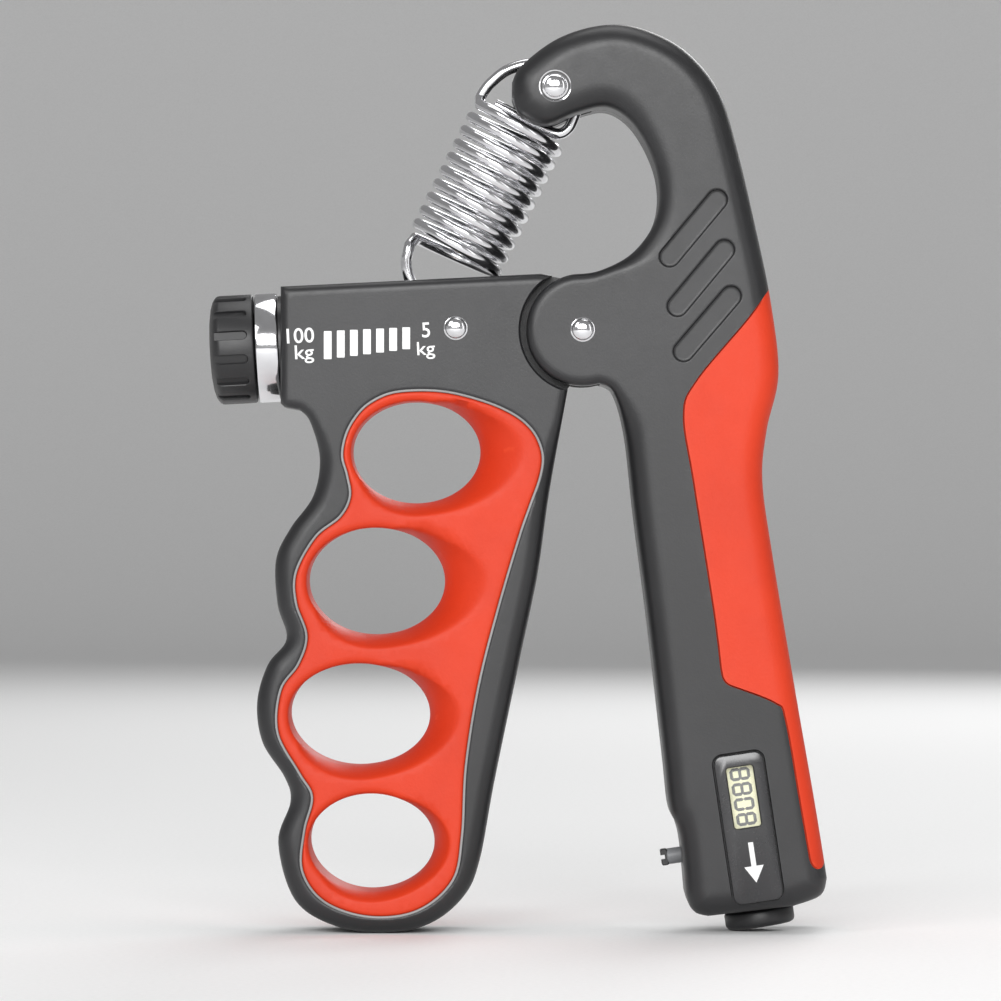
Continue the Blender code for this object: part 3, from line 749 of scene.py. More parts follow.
@dataclass(frozen=True)
class Display:
    """The display's film: pale, with darker patches at random, and a faint painted glow of its own colour.
    """

    name: str = "display_film"
    colour: Colour = (0.84, 0.82, 0.54)
    # the darker colour of patches spread at random by noise
    edge: Colour = (0.66, 0.65, 0.40)

    def make(self) -> bpy.types.Material:
        """The material."""
        graph = Graph(self.name)
        cloud = graph.noise(260.0, 2.0)
        dots = graph.noise(5200.0, 1.0)
        colour = graph.mix(cloud.above(0.35, 0.75), self.colour, self.edge)
        # painted glow: the film emits a little of its own colour though nothing lights it from behind
        graph.dress(Base_Color=colour, Roughness=(0.3 + (dots - 0.5) * 0.1).limited(),
                    Emission_Color=colour, Emission_Strength=0.30)
        return graph.material


@dataclass(frozen=True)
class Clear:
    """The clear window over the display."""

    name: str = "window_clear"

    def make(self) -> bpy.types.Material:
        """The material."""
        graph = Graph(self.name)
        smear = graph.noise(420.0, 2.0)
        graph.dress(Base_Color=(0.95, 0.97, 0.95), Roughness=(0.04 + smear * 0.05).limited(),
                    Alpha=(0.10 + smear * 0.04).limited())
        graph.material.surface_render_method = "BLENDED"
        return graph.material


@dataclass(frozen=True)
class Board:
    """A circuit board: green mask with copper tracks under it."""

    name: str = "circuit_board"

    def make(self) -> bpy.types.Material:
        """The material."""
        graph = Graph(self.name)
        tracks = (graph.axis("X") * 5200.0).sine() * (graph.axis("Z") * 900.0).sine()
        shown = tracks.above(0.25, 0.4)
        weave = graph.noise(1800.0, 2.0)
        graph.dress(Base_Color=graph.mix(shown, (0.015, 0.11, 0.05), (0.04, 0.26, 0.10)),
                    Roughness=(0.34 + (weave - 0.5) * 0.2).limited(),
                    Normal=graph.bump(shown, 0.00003))
        return graph.material


class Finish(Enum):
    """Every finish on the object."""

    SHELL = Moulded("shell_black", (0.0135, 0.0135, 0.0145), (0.018, 0.018, 0.0195), 0.40,
                    grain=0.000012, worn=(0.045, 0.045, 0.047))
    SHELL_SMOOTH = Moulded("shell_smooth", (0.010, 0.010, 0.011), (0.014, 0.014, 0.015), 0.30,
                           grain=0.000006)
    RED = Moulded("grip_red", (0.62, 0.038, 0.007), (0.57, 0.033, 0.006), 0.55, grain=0.00003,
                  cells=1900.0, worn=(0.70, 0.07, 0.02), shine=0.35)
    # light grey that paints the highlight along the shell's edge round the insert
    HIGHLIGHT_BEAD = Moulded("bead_painted_highlight", (0.30, 0.30, 0.30), (0.24, 0.24, 0.24), 0.45, grain=0.00001)
    KNOB = Moulded("knob_black", (0.012, 0.012, 0.013), (0.017, 0.017, 0.018), 0.42, grain=0.000012,
                   worn=(0.06, 0.06, 0.06))
    LABEL = Moulded("label_black", (0.016, 0.016, 0.018), (0.024, 0.024, 0.026), 0.26,
                    grain=0.000004, coat=0.4)
    PLUNGER = Moulded("plunger_grey", (0.20, 0.205, 0.215), (0.16, 0.165, 0.17), 0.45)
    CHROME = Metal("chrome", (0.83, 0.83, 0.85), 0.10)
    WIRE = Metal("spring_wire", (0.80, 0.80, 0.82), 0.14, marks=0.10)
    STEEL = Metal("steel", (0.56, 0.56, 0.57), 0.30, stretch=(300.0, 2400.0, 2400.0), marks=0.14)
    BRONZE = Metal("bronze", (0.60, 0.40, 0.20), 0.36, marks=0.12)
    INK = Print("white_print", (0.80, 0.80, 0.80))
    DIGIT = Print("display_digit", (0.006, 0.006, 0.005), 0.45)
    DISPLAY = Display()
    CLEAR = Clear()
    BOARD = Board()

    def on(self, *pieces: bpy.types.Object) -> None:
        """Put the finish on the pieces, making it once."""
        if self not in MADE:
            MADE[self] = self.value.make()
        material = MADE[self]
        for piece in pieces:
            if not piece.material_slots:
                piece.data.materials.append(None)
            for slot in piece.material_slots:
                slot.link = "OBJECT"
                slot.material = material


MADE: dict[Finish, bpy.types.Material] = {}

# ------------------------------------------------------------------ the object's sizes

HALF_GAP = 0.15                     # half the seam between the two shells of a handle
FINGER_HALF, PALM_HALF = 11.0, 12.5  # half the thickness of each handle
HUB_RADIUS, HUB_RECESS, TONGUE_RADIUS = 10.1, 11.2, 9.5
TONGUE_HALF, CHEEK_INNER = 5.5, 6.5
SPRING_PIN: Point = (-4.95, 43.7)
BARREL_STUD: Point = (-22.8, 0.3)
LOW_END, HIGH_END = -18.0, 18.0     # how far a cutter reaches past both faces


GROOVE_REACH = (0.0, 1.5, 1.74, 1.9, 2.05)     # distance from a groove's middle line
GROOVE_DEPTH = (1.05, 1.05, 0.95, 0.12, 0.0)   # and how deep it is there
FINGER_RINGS = (0.04, 0.16, 0.36, 0.64, 1.0, 1.45, 2.0, 2.6, 3.1)
PALM_RINGS = (0.04, 0.15, 0.34, 0.6, 0.95, 1.35, 1.85, 2.4, 3.0, 3.6, 4.3)
MOUTH_SHARES = (0.06, 0.12, 0.18, 0.26, 0.35, 0.45, 0.55, 0.66, 0.78, 0.9, 1.0, 1.12)


@dataclass(frozen=True)
class Layout:
    """The three frames that the object is built in."""

    pivot: Place
    barrel: Place
    counter: Place

    @classmethod
    def from_frame(cls) -> "Layout":
        """Find the pivot from its rivet, and set the others from it."""
        low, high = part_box("pivot_rivet")
        pivot = Place(Vector(((low[0] + high[0]) / 2, 0.0, (low[2] + high[2]) / 2)))
        return cls(pivot, pivot.at(-54.2, -2.9, -2.9), pivot.at(29.7, -89.45, -8.5))


def stack(name: str, levels: Sequence[tuple[float, Outline]], place: Place, spin: float = 0.0,
          angle: float = 40.0) -> bpy.types.Object:
    """A closed solid through outlines of equal point count at rising y.

    Args:
        name: the object's name.
        levels: (y, outline) pairs.
        place: the frame of the outlines.
        spin: degrees that the solid is turned about the frame's X axis.
        angle: edges sharper than this many degrees stay sharp.

    Returns:
        The solid.
    """
    count = len(levels[0][1].points)
    turn = Matrix.Rotation(math.radians(spin), 3, "X")
    corners = [turn @ Vector((x, y, z)) for y, shape in levels for x, z in shape.points]
    faces: list[list[int]] = []
    for level in range(len(levels) - 1):
        base = level * count
        faces += [[base + i, base + (i + 1) % count, base + count + (i + 1) % count, base + count + i]
                  for i in range(count)]
    faces += [list(range(count)), list(range((len(levels) - 1) * count, len(levels) * count))]
    return Mesher.add(name, corners, faces, place, angle)


def replace(piece: bpy.types.Object, body: str, finish: Finish, *nodes: str,
            slot: str | None = None) -> None:
    """Dress a piece, put it on its body and hide the CAD nodes it replaces.

    Args:
        piece: the new piece.
        body: the body it rides on.
        finish: its finish.
        nodes: the CAD nodes that it replaces.
        slot: the record's material slot, if it isn't the finish's own name; not used.
    """
    finish.on(piece)
    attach(piece, body)
    if nodes:
        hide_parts(*nodes)
    LOG.info("%s rides on %s, %d faces", piece.name, body, len(piece.data.polygons))


@dataclass
class CasingScrew:
    """A self-tapping screw put in from the rear, with a cross recess."""

    place: Place
    seat: float
    shank: float = 1.1
    head: float = 2.0

    def hole(self) -> bpy.types.Object:
        """The stepped hole that takes it."""
        wide, narrow = self.head + 0.3, self.shank + 0.3
        return Mesher.turned("cutter", [(0, 16), (wide, 16), (wide, self.seat - 0.3),
                                        (narrow, self.seat - 0.3), (narrow, -7), (0, -7)], self.place)

    def build(self, name: str, body: str) -> None:
        """Make the screw and replace the plain one."""
        top = self.seat + 1.5
        thread = [(self.shank - (0.16 if turn % 2 else 0.0), self.seat - 1.0 - turn * 0.4)
                  for turn in range(28)]
        screw = Mesher.turned(name, [(0, top), (self.head * 0.6, top - 0.02), (self.head * 0.9, top - 0.2),
                                     (self.head, top - 0.55), (self.head, self.seat),
                                     (self.shank, self.seat), *thread, (0, -6.5)], self.place)
        arms = [Mesher.block((-1.05, top - 0.8, -0.22), (1.05, top + 1, 0.22), self.place),
                Mesher.block((-0.22, top - 0.8, -1.05), (0.22, top + 1, 1.05), self.place)]
        Mesher.carve(screw, arms)
        replace(screw, body, Finish.STEEL, name)


# ------------------------------------------------------------------ finger handle

@dataclass(frozen=True)
class FingerHole:
    """A finger hole: an ellipse, with a mouth that flares to the right and down at both faces."""

    x: float
    z: float
    width: float
    height: float
    right: float
    down: float

    def rim(self, share: float, steps: int = 132, beyond: float = 0.0) -> Array:
        """The hole's outline at a share of its flare, moved out by beyond."""
        turn = np.arange(steps) * 2 * math.pi / steps
        side, lift = np.cos(turn), np.sin(turn)
        return np.stack([
            self.x + side * (self.width + beyond) + share * self.right * np.maximum(side, 0) ** 1.5,
            self.z + lift * (self.height + beyond) - share * self.down * np.maximum(-lift, 0) ** 1.5],
            axis=1)

    def dip(self, places: Array, height: float, floor: float) -> Array:
        """How far the face dips at each place.

        Args:
            places: places on the face.
            height: the face's height.
            floor: the height at which the straight part of the hole starts.

        Returns:
            The dip below the face's height.
        """
        away = places - (self.x, self.z)
        turn = np.arctan2(away[:, 1] / self.height, away[:, 0] / self.width)
        for _ in range(3):
            side, lift = np.cos(turn), np.sin(turn)
            edge_x = self.width * side
            edge_z = self.height * lift
            flare_x = self.right * np.maximum(side, 0) ** 1.5
            flare_z = -self.down * np.maximum(-lift, 0) ** 1.5
            reach = np.hypot(flare_x, flare_z)
            out = np.hypot(away[:, 0], away[:, 1]) - np.hypot(edge_x, edge_z)
            share = np.clip(out / np.maximum(reach, 0.05), 0.0, 1.4)
            turn = np.arctan2((away[:, 1] - share * flare_z) / self.height,
                              (away[:, 0] - share * flare_x) / self.width)
        fall = 1.0 - np.interp(share, [0.0, 0.06, 0.18, 0.35, 0.55, 0.78, 0.92, 1.0, 1.12],
                               [0.0, 0.16, 0.36, 0.56, 0.74, 0.90, 0.972, 0.993, 1.0])
        deep = (height - floor) * step(reach, 0.2, 3.2)
        lip = 1.3
        gap = np.maximum(out, 0.0)
        edge = np.where(gap < lip, lip - np.sqrt(np.maximum(lip ** 2 - (lip - gap) ** 2, 0.0)), 0.0)
        return np.maximum(fall * deep, edge * 0.9)


@dataclass
class FingerHandle:
    """The handle with four finger holes and the adjuster's barrel."""

    layout: Layout
    body: str = "finger_handle"
    insert_half: float = 10.7
    holes: tuple[FingerHole, ...] = (
        FingerHole(-30.0, -22.0, 11.6, 9.2, 8.0, 2.4), FingerHole(-37.2, -45.3, 12.4, 9.7, 7.8, 2.4),
        FingerHole(-40.2, -69.3, 12.7, 9.3, 5.6, 2.4), FingerHole(-38.0, -92.3, 11.3, 8.9, 3.0, 1.8))
    outline: Outline = field(init=False)
    insert: Outline = field(init=False)

    def __post_init__(self) -> None:
        """Set the outlines."""
        edge = Outline.smooth([
            (-2.6, -10.4), (-6.0, -29.4), (-8.1, -44.1), (-11.3, -59.4), (-15.8, -81.0), (-18.5, -95.4),
            (-21.4, -102.0), (-27.5, -106.9), (-35.6, -108.5), (-44.6, -107.3), (-51.8, -102.6),
            (-54.8, -92.3), (-52.6, -85.0), (-53.6, -80.6), (-57.6, -74.3), (-58.6, -67.1),
            (-56.7, -60.3), (-53.3, -55.6), (-54.9, -49.5), (-55.2, -41.4), (-52.6, -35.7),
            (-48.5, -29.9), (-47.3, -23.1), (-49.0, -16.6), (-50.9, -14.4)])
        self.outline = Outline.join([(-54.3, 7.8), (-7.5, 10.1)],
                                    Outline.arc((0, 0), TONGUE_RADIUS, 105, -100, 56), edge,
                                    [(-53.6, -13.9), (-54.3, -13.2)], spacing=0.8)
        self.insert = Outline.join(Outline.smooth([
            (-28.9, -10.9), (-24.1, -11.25), (-19.3, -12.4), (-14.8, -14.0), (-11.1, -16.1),
            (-8.5, -18.9), (-7.2, -22.6), (-7.7, -26.6), (-9.5, -31.7), (-11.5, -37.5), (-15.3, -50.4),
            (-18.7, -63.9), (-21.0, -78.3), (-21.7, -90.9), (-23.4, -99.0),
            (-29.7, -104.4), (-38.3, -105.5), (-46.4, -102.8), (-50.4, -97.2), (-50.0, -90.0),
            (-48.6, -84.0), (-50.9, -79.7), (-54.8, -72.5), (-54.3, -64.8), (-51.1, -60.1),
            (-49.6, -55.0), (-51.5, -49.1), (-51.5, -43.5), (-48.0, -37.2), (-43.6, -33.6),
            (-41.8, -30.0), (-42.3, -26.2), (-43.2, -22.5), (-42.3, -18.3), (-40.1, -14.8),
            (-37.5, -12.7), (-34.0, -11.3)], closed=True), spacing=0.8)

    def shell_rise(self, places: Array) -> Array:
        """Height of the black shell: round at the outside, eased at the insert."""
        radius = 1.5 + 1.5 * (1.0 - step(places[:, 1], -26.0, -14.0))
        outside = rounded(self.outline.distance(places), radius, FINGER_HALF)
        inside = rounded(self.insert.distance(places), 0.6, FINGER_HALF)
        return np.minimum(outside, inside)

    def insert_rise(self, places: Array) -> Array:
        """Height of the soft insert: a flat face that dips into the finger holes."""
        height = rounded(self.insert.distance(places), 0.8, self.insert_half)
        for hole in self.holes:
            near = np.hypot(places[:, 0] - hole.x, places[:, 1] - hole.z) < 30.0
            dip = np.zeros(len(places))
            dip[near] = hole.dip(places[near], self.insert_half, 3.0)
            height = np.minimum(height, self.insert_half - dip)
        return height

    def barrel_cutters(self) -> list[bpy.types.Object]:
        """The hollows of the barrel: end bore, carrier track and the hook's slot."""
        barrel = self.layout.barrel
        return [Mesher.turned("cutter", [(0, 6.0), (4.8, 6.0), (4.8, -3.0), (0, -3.0)], barrel, "X"),
                Mesher.block((2.9, -6.0, -6.2), (29.0, 6.0, 5.6), barrel),
                stack("cutter", [(y, Outline.box(17.55, 8.0, 2.5, (21.95, 8.0))) for y in (-4.0, 4.0)],
                      barrel)]

    def shells(self) -> None:
        """The two black shells."""
        pivot = self.layout.pivot
        hole = self.insert.grown(0.12)
        rings = [self.outline.ring(d) for d in FINGER_RINGS]
        rings += [hole.grown(d).points for d in (0.06, 0.2, 0.4, 0.65)]
        screws = {"left": CasingScrew(pivot.at(-47.6, -11.0), 6.5),
                  "right": CasingScrew(pivot.at(-13.6, -8.6), 6.5)}
        for side, sign in (("front", -1), ("rear", 1)):
            name = f"finger_{side}_shell"
            relief = Relief(self.outline, self.shell_rise, [hole], rings, grid=2.6)
            shell = relief.solid(name, pivot, back=-HALF_GAP, front=sign < 0)
            recess = [(sign * 18.0, Outline.circle((0, 0), HUB_RECESS + 0.35)),
                      (sign * FINGER_HALF, Outline.circle((0, 0), HUB_RECESS + 0.35)),
                      (sign * (FINGER_HALF - 0.4), Outline.circle((0, 0), HUB_RECESS)),
                      (sign * TONGUE_HALF, Outline.circle((0, 0), HUB_RECESS))]
            Mesher.carve(shell, [
                stack("cutter", recess, pivot),
                Mesher.turned("cutter", [(0, 8), (3.0, 8), (3.0, -8), (0, -8)], pivot),
                Mesher.turned("cutter", [(0, 14), (1.55, 14), (1.55, -14), (0, -14)],
                              pivot.at(*BARREL_STUD), steps=32),
                *self.barrel_cutters(), *[screw.hole() for screw in screws.values()]])
            replace(shell, self.body, Finish.SHELL, name)
        for side, screw in screws.items():
            screw.build(f"finger_screw_{side}", self.body)

    def soft_insert(self) -> None:
        """The red insert, and a light grey bead round it that paints the highlight on the shell's edge."""
        pivot = self.layout.pivot
        mouths = [Outline(hole.rim(0.0)) for hole in self.holes]
        rings = [self.insert.ring(d) for d in (0.05, 0.2, 0.45, 0.85)]
        rings += [hole.rim(share) for hole in self.holes for share in MOUTH_SHARES]
        rings += [hole.rim(0.0, beyond=d) for hole in self.holes for d in (0.1, 0.3, 0.6, 0.95, 1.35)]
        relief = Relief(self.insert, self.insert_rise, mouths, rings, grid=1.5)
        insert = relief.solid("finger_grip_insert", pivot, angle=62.0)
        replace(insert, self.body, Finish.RED, "finger_grip_insert")
        for side, sign in (("front", -1), ("rear", 1)):
            path = [(x, sign * 10.78, z) for x, z in self.insert.grown(0.05).points]
            # a thin light grey tube at each face: painted highlight along the shell's edge round the insert
            bead = Mesher.tube(f"insert_highlight_bead_{side}", [*path, path[0]], 0.24, pivot, 8)
            replace(bead, self.body, Finish.HIGHLIGHT_BEAD, slot="shell_black")

    def studs(self) -> None:
        """The two short rivets on the barrel."""
        for side, sign in (("front", -1), ("rear", 1)):
            name = f"barrel_stud_{side}"
            profile = dome(2.15, FINGER_HALF + 0.02, 0.75)
            profile += [(1.25, FINGER_HALF - 0.2), (1.25, 4.9), (0, 4.9)]
            stud = Mesher.turned(name, [(r, sign * h) for r, h in profile],
                                 self.layout.pivot.at(*BARREL_STUD))
            replace(stud, self.body, Finish.CHROME, name)

    def end_collar(self) -> None:
        """The dark washer that closes the gap between the barrel and the bright ring."""
        collar = Mesher.turned("barrel_end_washer", [(3.0, -0.5), (9.3, -0.5), (9.3, 0.1), (3.0, 0.1)],
                               self.layout.barrel, "X", steps=96)
        replace(collar, self.body, Finish.KNOB, slot="shell_black")

    def scale_print(self) -> None:
        """The scale on the barrel: seven bars from strong to light, with its two numbers."""
        pivot = self.layout.pivot
        top, under = -FINGER_HALF - 0.03, -FINGER_HALF + 0.05
        for index in range(7):
            share = index / 6
            left = -46.5 + 2.35 * index
            low, high = -5.3 + 1.8 * share, -0.25 + 0.68 * share
            bar = stack(f"scale_bar_{index + 1}",
                        [(y, Outline.box(0.7, (high - low) / 2, 0.12, (left + 0.7, (low + high) / 2)))
                         for y in (top, under)], pivot)
            replace(bar, self.body, Finish.INK, slot="shell_black")
        words = (("scale_high", "100", (4.9, 2.7), -50.65, -2.4),
                 ("scale_high_unit", "kg", (3.4, 3.3), -49.9, -6.05),
                 ("scale_low", "5", (1.45, 2.7), -28.1, -1.4),
                 ("scale_low_unit", "kg", (3.2, 3.15), -28.05, -5.3))
        for name, text, size, middle, foot in words:
            replace(printed(name, text, size, pivot.at(middle, foot, -2.9), top), self.body,
                    Finish.INK, slot="shell_black")

    def build(self) -> None:
        """Make every visible piece of the finger handle."""
        self.shells()
        self.soft_insert()
        self.studs()
        self.end_collar()
        self.scale_print()
        nodes = bpy.data.objects
        Finish.BRONZE.on(nodes["pivot_bush"], nodes["adjuster_bearing"])


def dome(head: float, top: float, rise: float, steps: int = 10) -> list[Point]:
    """A rivet head's profile: a low dome with a small flat rim."""
    crown = [(head * 0.86 * math.sin(a), top + 0.25 + rise * math.cos(a))
             for a in (math.radians(90 * i / steps) for i in range(steps + 1))]
    return crown + [(head * 0.9, top + 0.16), (head, top + 0.1), (head, top - 0.2)]


def printed(name: str, text: str, size: tuple[float, float], place: Place,
            top: float) -> bpy.types.Object:
    """Numbers in thin ink on a front face.

    Args:
        name: the object's name.
        text: the characters.
        size: the width and height that they fill, in millimetres.
        place: the middle of their lowest edge.
        top: y of the ink's surface.

    Returns:
        The mesh.
    """
    curve = bpy.data.curves.new(name, "FONT")
    curve.body = text
    curve.align_x = "CENTER"
    curve.size = size[1] * 1.38
    curve.extrude = 0.04
    curve.offset = 0.035
    curve.space_character = 1.02
    holder = bpy.data.objects.new(name + "_type", curve)
    bpy.context.scene.collection.objects.link(holder)
    graph = bpy.context.evaluated_depsgraph_get()
    mesh = bpy.data.meshes.new_from_object(holder.evaluated_get(graph))
    bpy.data.objects.remove(holder)
    mesh.name = name
    spread = np.array([v.co[:2] for v in mesh.vertices])
    low, high = spread.min(axis=0), spread.max(axis=0)
    wider, taller = size / (high - low)
    mesh.transform(Matrix.Diagonal((wider, taller, 1.0, 1.0))
                   @ Matrix.Translation((-(low[0] + high[0]) / 2, -low[1], 0.0)))
    mesh.transform(Matrix.Translation((0, top + 0.04, 0)) @ Matrix.Rotation(math.pi / 2, 4, "X"))
    mesh.transform(place.matrix())
    piece = bpy.data.objects.new(name, mesh)
    bpy.context.scene.collection.objects.link(piece)
    return piece


# ------------------------------------------------------------------ resistance adjuster

@dataclass
class Adjuster:
    """The fluted knob, the bright ring and the lead screw."""

    layout: Layout
    body: str = "adjuster"
    flutes: int = 14
    first_flute: float = 14.0
    radius: float = 9.85

    def knob(self) -> None:
        """The knob: open-ended flutes round it and a domed end."""
        r = self.radius
        profile = [(0, -4.95), (r - 0.55, -4.95), (r - 0.3, -5.0), (r - 0.08, -5.15), (r, -5.4),
                   (r, -11.0), (r - 0.06, -11.35), (r - 0.25, -11.7), (r - 0.6, -12.0),
                   (r - 1.2, -12.35), (r - 2.4, -12.72), (r - 4.4, -13.02), (r - 6.5, -13.15), (0, -13.2)]
        knob = Mesher.turned("adjuster_knob", profile, self.layout.barrel, "X", steps=168, angle=24.0)
        cutters = [Mesher.turned("cutter", [(0, 0), (2.8, 0), (2.8, -9), (0, -9)], self.layout.barrel, "X")]
        for index in range(self.flutes):
            spin = -self.first_flute + 360.0 * index / self.flutes
            levels = [(y, Outline.slot((-17.0, 0.0), (-6.95, 0.0), width)) for y, width in
                      ((-12.0, 1.02), (-r + 0.02, 0.92), (-r + 0.14, 0.8), (-r + 0.62, 0.72))]
            cutters.append(stack("cutter", levels, self.layout.barrel, spin))
        Mesher.carve(knob, cutters, 28.0)
        replace(knob, self.body, Finish.KNOB, "adjuster_knob")

    def ring(self) -> None:
        """The polished ring between knob and barrel."""
        r = self.radius
        profile = [(r - 0.35, -0.65), (r - 0.08, -0.75), (r, -1.0), (r, -4.3), (r - 0.08, -4.55),
                   (r - 0.35, -4.65), (5.2, -4.65), (5.2, -0.65)]
        ring = Mesher.turned("adjuster_ring", profile, self.layout.barrel, "X", steps=144, angle=30.0)
        replace(ring, self.body, Finish.CHROME, "adjuster_ring")

    def build(self) -> None:
        """Make the visible pieces of the adjuster."""
        self.knob()
        self.ring()
        Finish.STEEL.on(bpy.data.objects["adjuster_screw"], bpy.data.objects["spring_carrier"],
                        bpy.data.objects["carrier_pin"])
        Finish.BRONZE.on(bpy.data.objects["hook_saddle"])


# ------------------------------------------------------------------ spring

@dataclass
class Spring:
    """The extension spring: two hooks and a close coil, in three lengths that meet end to end."""

    layout: Layout
    radius: float = 8.3
    wire: float = 1.0
    pitch: float = 2.7
    tilt: float = 63.4
    foot: Point = (-23.5, 13.4)
    turns: float = 10.0
    samples: int = 44

    def coil_point(self, turn: float) -> tuple[float, float, float]:
        """A place on the coil; whole turns are at its left side, halves at its right."""
        tilt = math.radians(self.tilt)
        angle = 2 * math.pi * turn + math.pi
        lift, reach = self.pitch * turn, self.radius * math.cos(angle)
        return (self.foot[0] + math.cos(tilt) * lift + math.sin(tilt) * reach,
                -self.radius * math.sin(angle),
                self.foot[1] + math.sin(tilt) * lift - math.cos(tilt) * reach)

    def axis_point(self, turn: float) -> tuple[float, float, float]:
        """The coil's middle at a turn, in the frame's metres."""
        tilt = math.radians(self.tilt)
        local = Vector((self.foot[0] + math.cos(tilt) * self.pitch * turn, 0.0,
                        self.foot[1] + math.sin(tilt) * self.pitch * turn))
        return tuple(self.layout.pivot.matrix() @ local)

    def coil(self, start: float, end: float) -> list[tuple[float, float, float]]:
        """Places along the coil between two turns."""
        count = round((end - start) * self.samples)
        return [self.coil_point(start + (end - start) * i / count) for i in range(count + 1)]

    def build(self) -> None:
        """Make the three lengths."""
        pivot = self.layout.pivot
        third = self.turns / 3
        low_end, high_end = self.coil_point(0.0), self.coil_point(self.turns)
        lower = Outline.smooth([(-31.25, 15.6), (-31.75, 13.4)], 3)
        lower += Outline.arc((-23.7, 12.6), 8.15, 176, 320, 40)
        lower_run = [(x, low_end[1], z) for x, z in reversed(lower)]
        upper = Outline.smooth([
            (-18.45, 42.2), (-17.7, 43.55), (-16.4, 45.1), (-13.6, 47.3), (-9.5, 48.5), (-5.4, 48.05),
            (-2.3, 46.4), (-0.9, 43.8), (-0.85, 40.8), (-1.75, 38.0), (-2.5, 36.7), (-3.6, 35.9),
            (-4.9, 35.85), (-6.4, 36.45), (-9.0, 37.7), (-12.3, 39.4), (-15.7, 41.1)], 7)
        upper_run = [(x, high_end[1], z) for x, z in upper]
        lengths = (
            ("spring_lower", [*lower_run, *self.coil(0.06, third)], ("spring_foot", "spring_middle"),
             (0.0, third), ("spring_lower_hook", "spring_lower_coils")),
            ("spring_middle", self.coil(third, 2 * third), ("spring_middle", "spring_top"),
             (third, 2 * third), ("spring_middle_coils",)),
            ("spring_upper", [*self.coil(2 * third, self.turns - 0.06), *upper_run],
             ("spring_top", "upper_hook"), (2 * third, self.turns),
             ("spring_upper_coils", "spring_upper_hook")))
        for name, path, bodies, span, nodes in lengths:
            piece = Mesher.tube(f"{name}_wire", path, self.wire, pivot, 18)
            Finish.WIRE.on(piece)
            self.axis_point(span[0])
            self.axis_point(span[1])
            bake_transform(piece)
            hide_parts(*nodes)
            LOG.info("%s bends from %s to %s", piece.name, *bodies)


# ------------------------------------------------------------------ palm handle

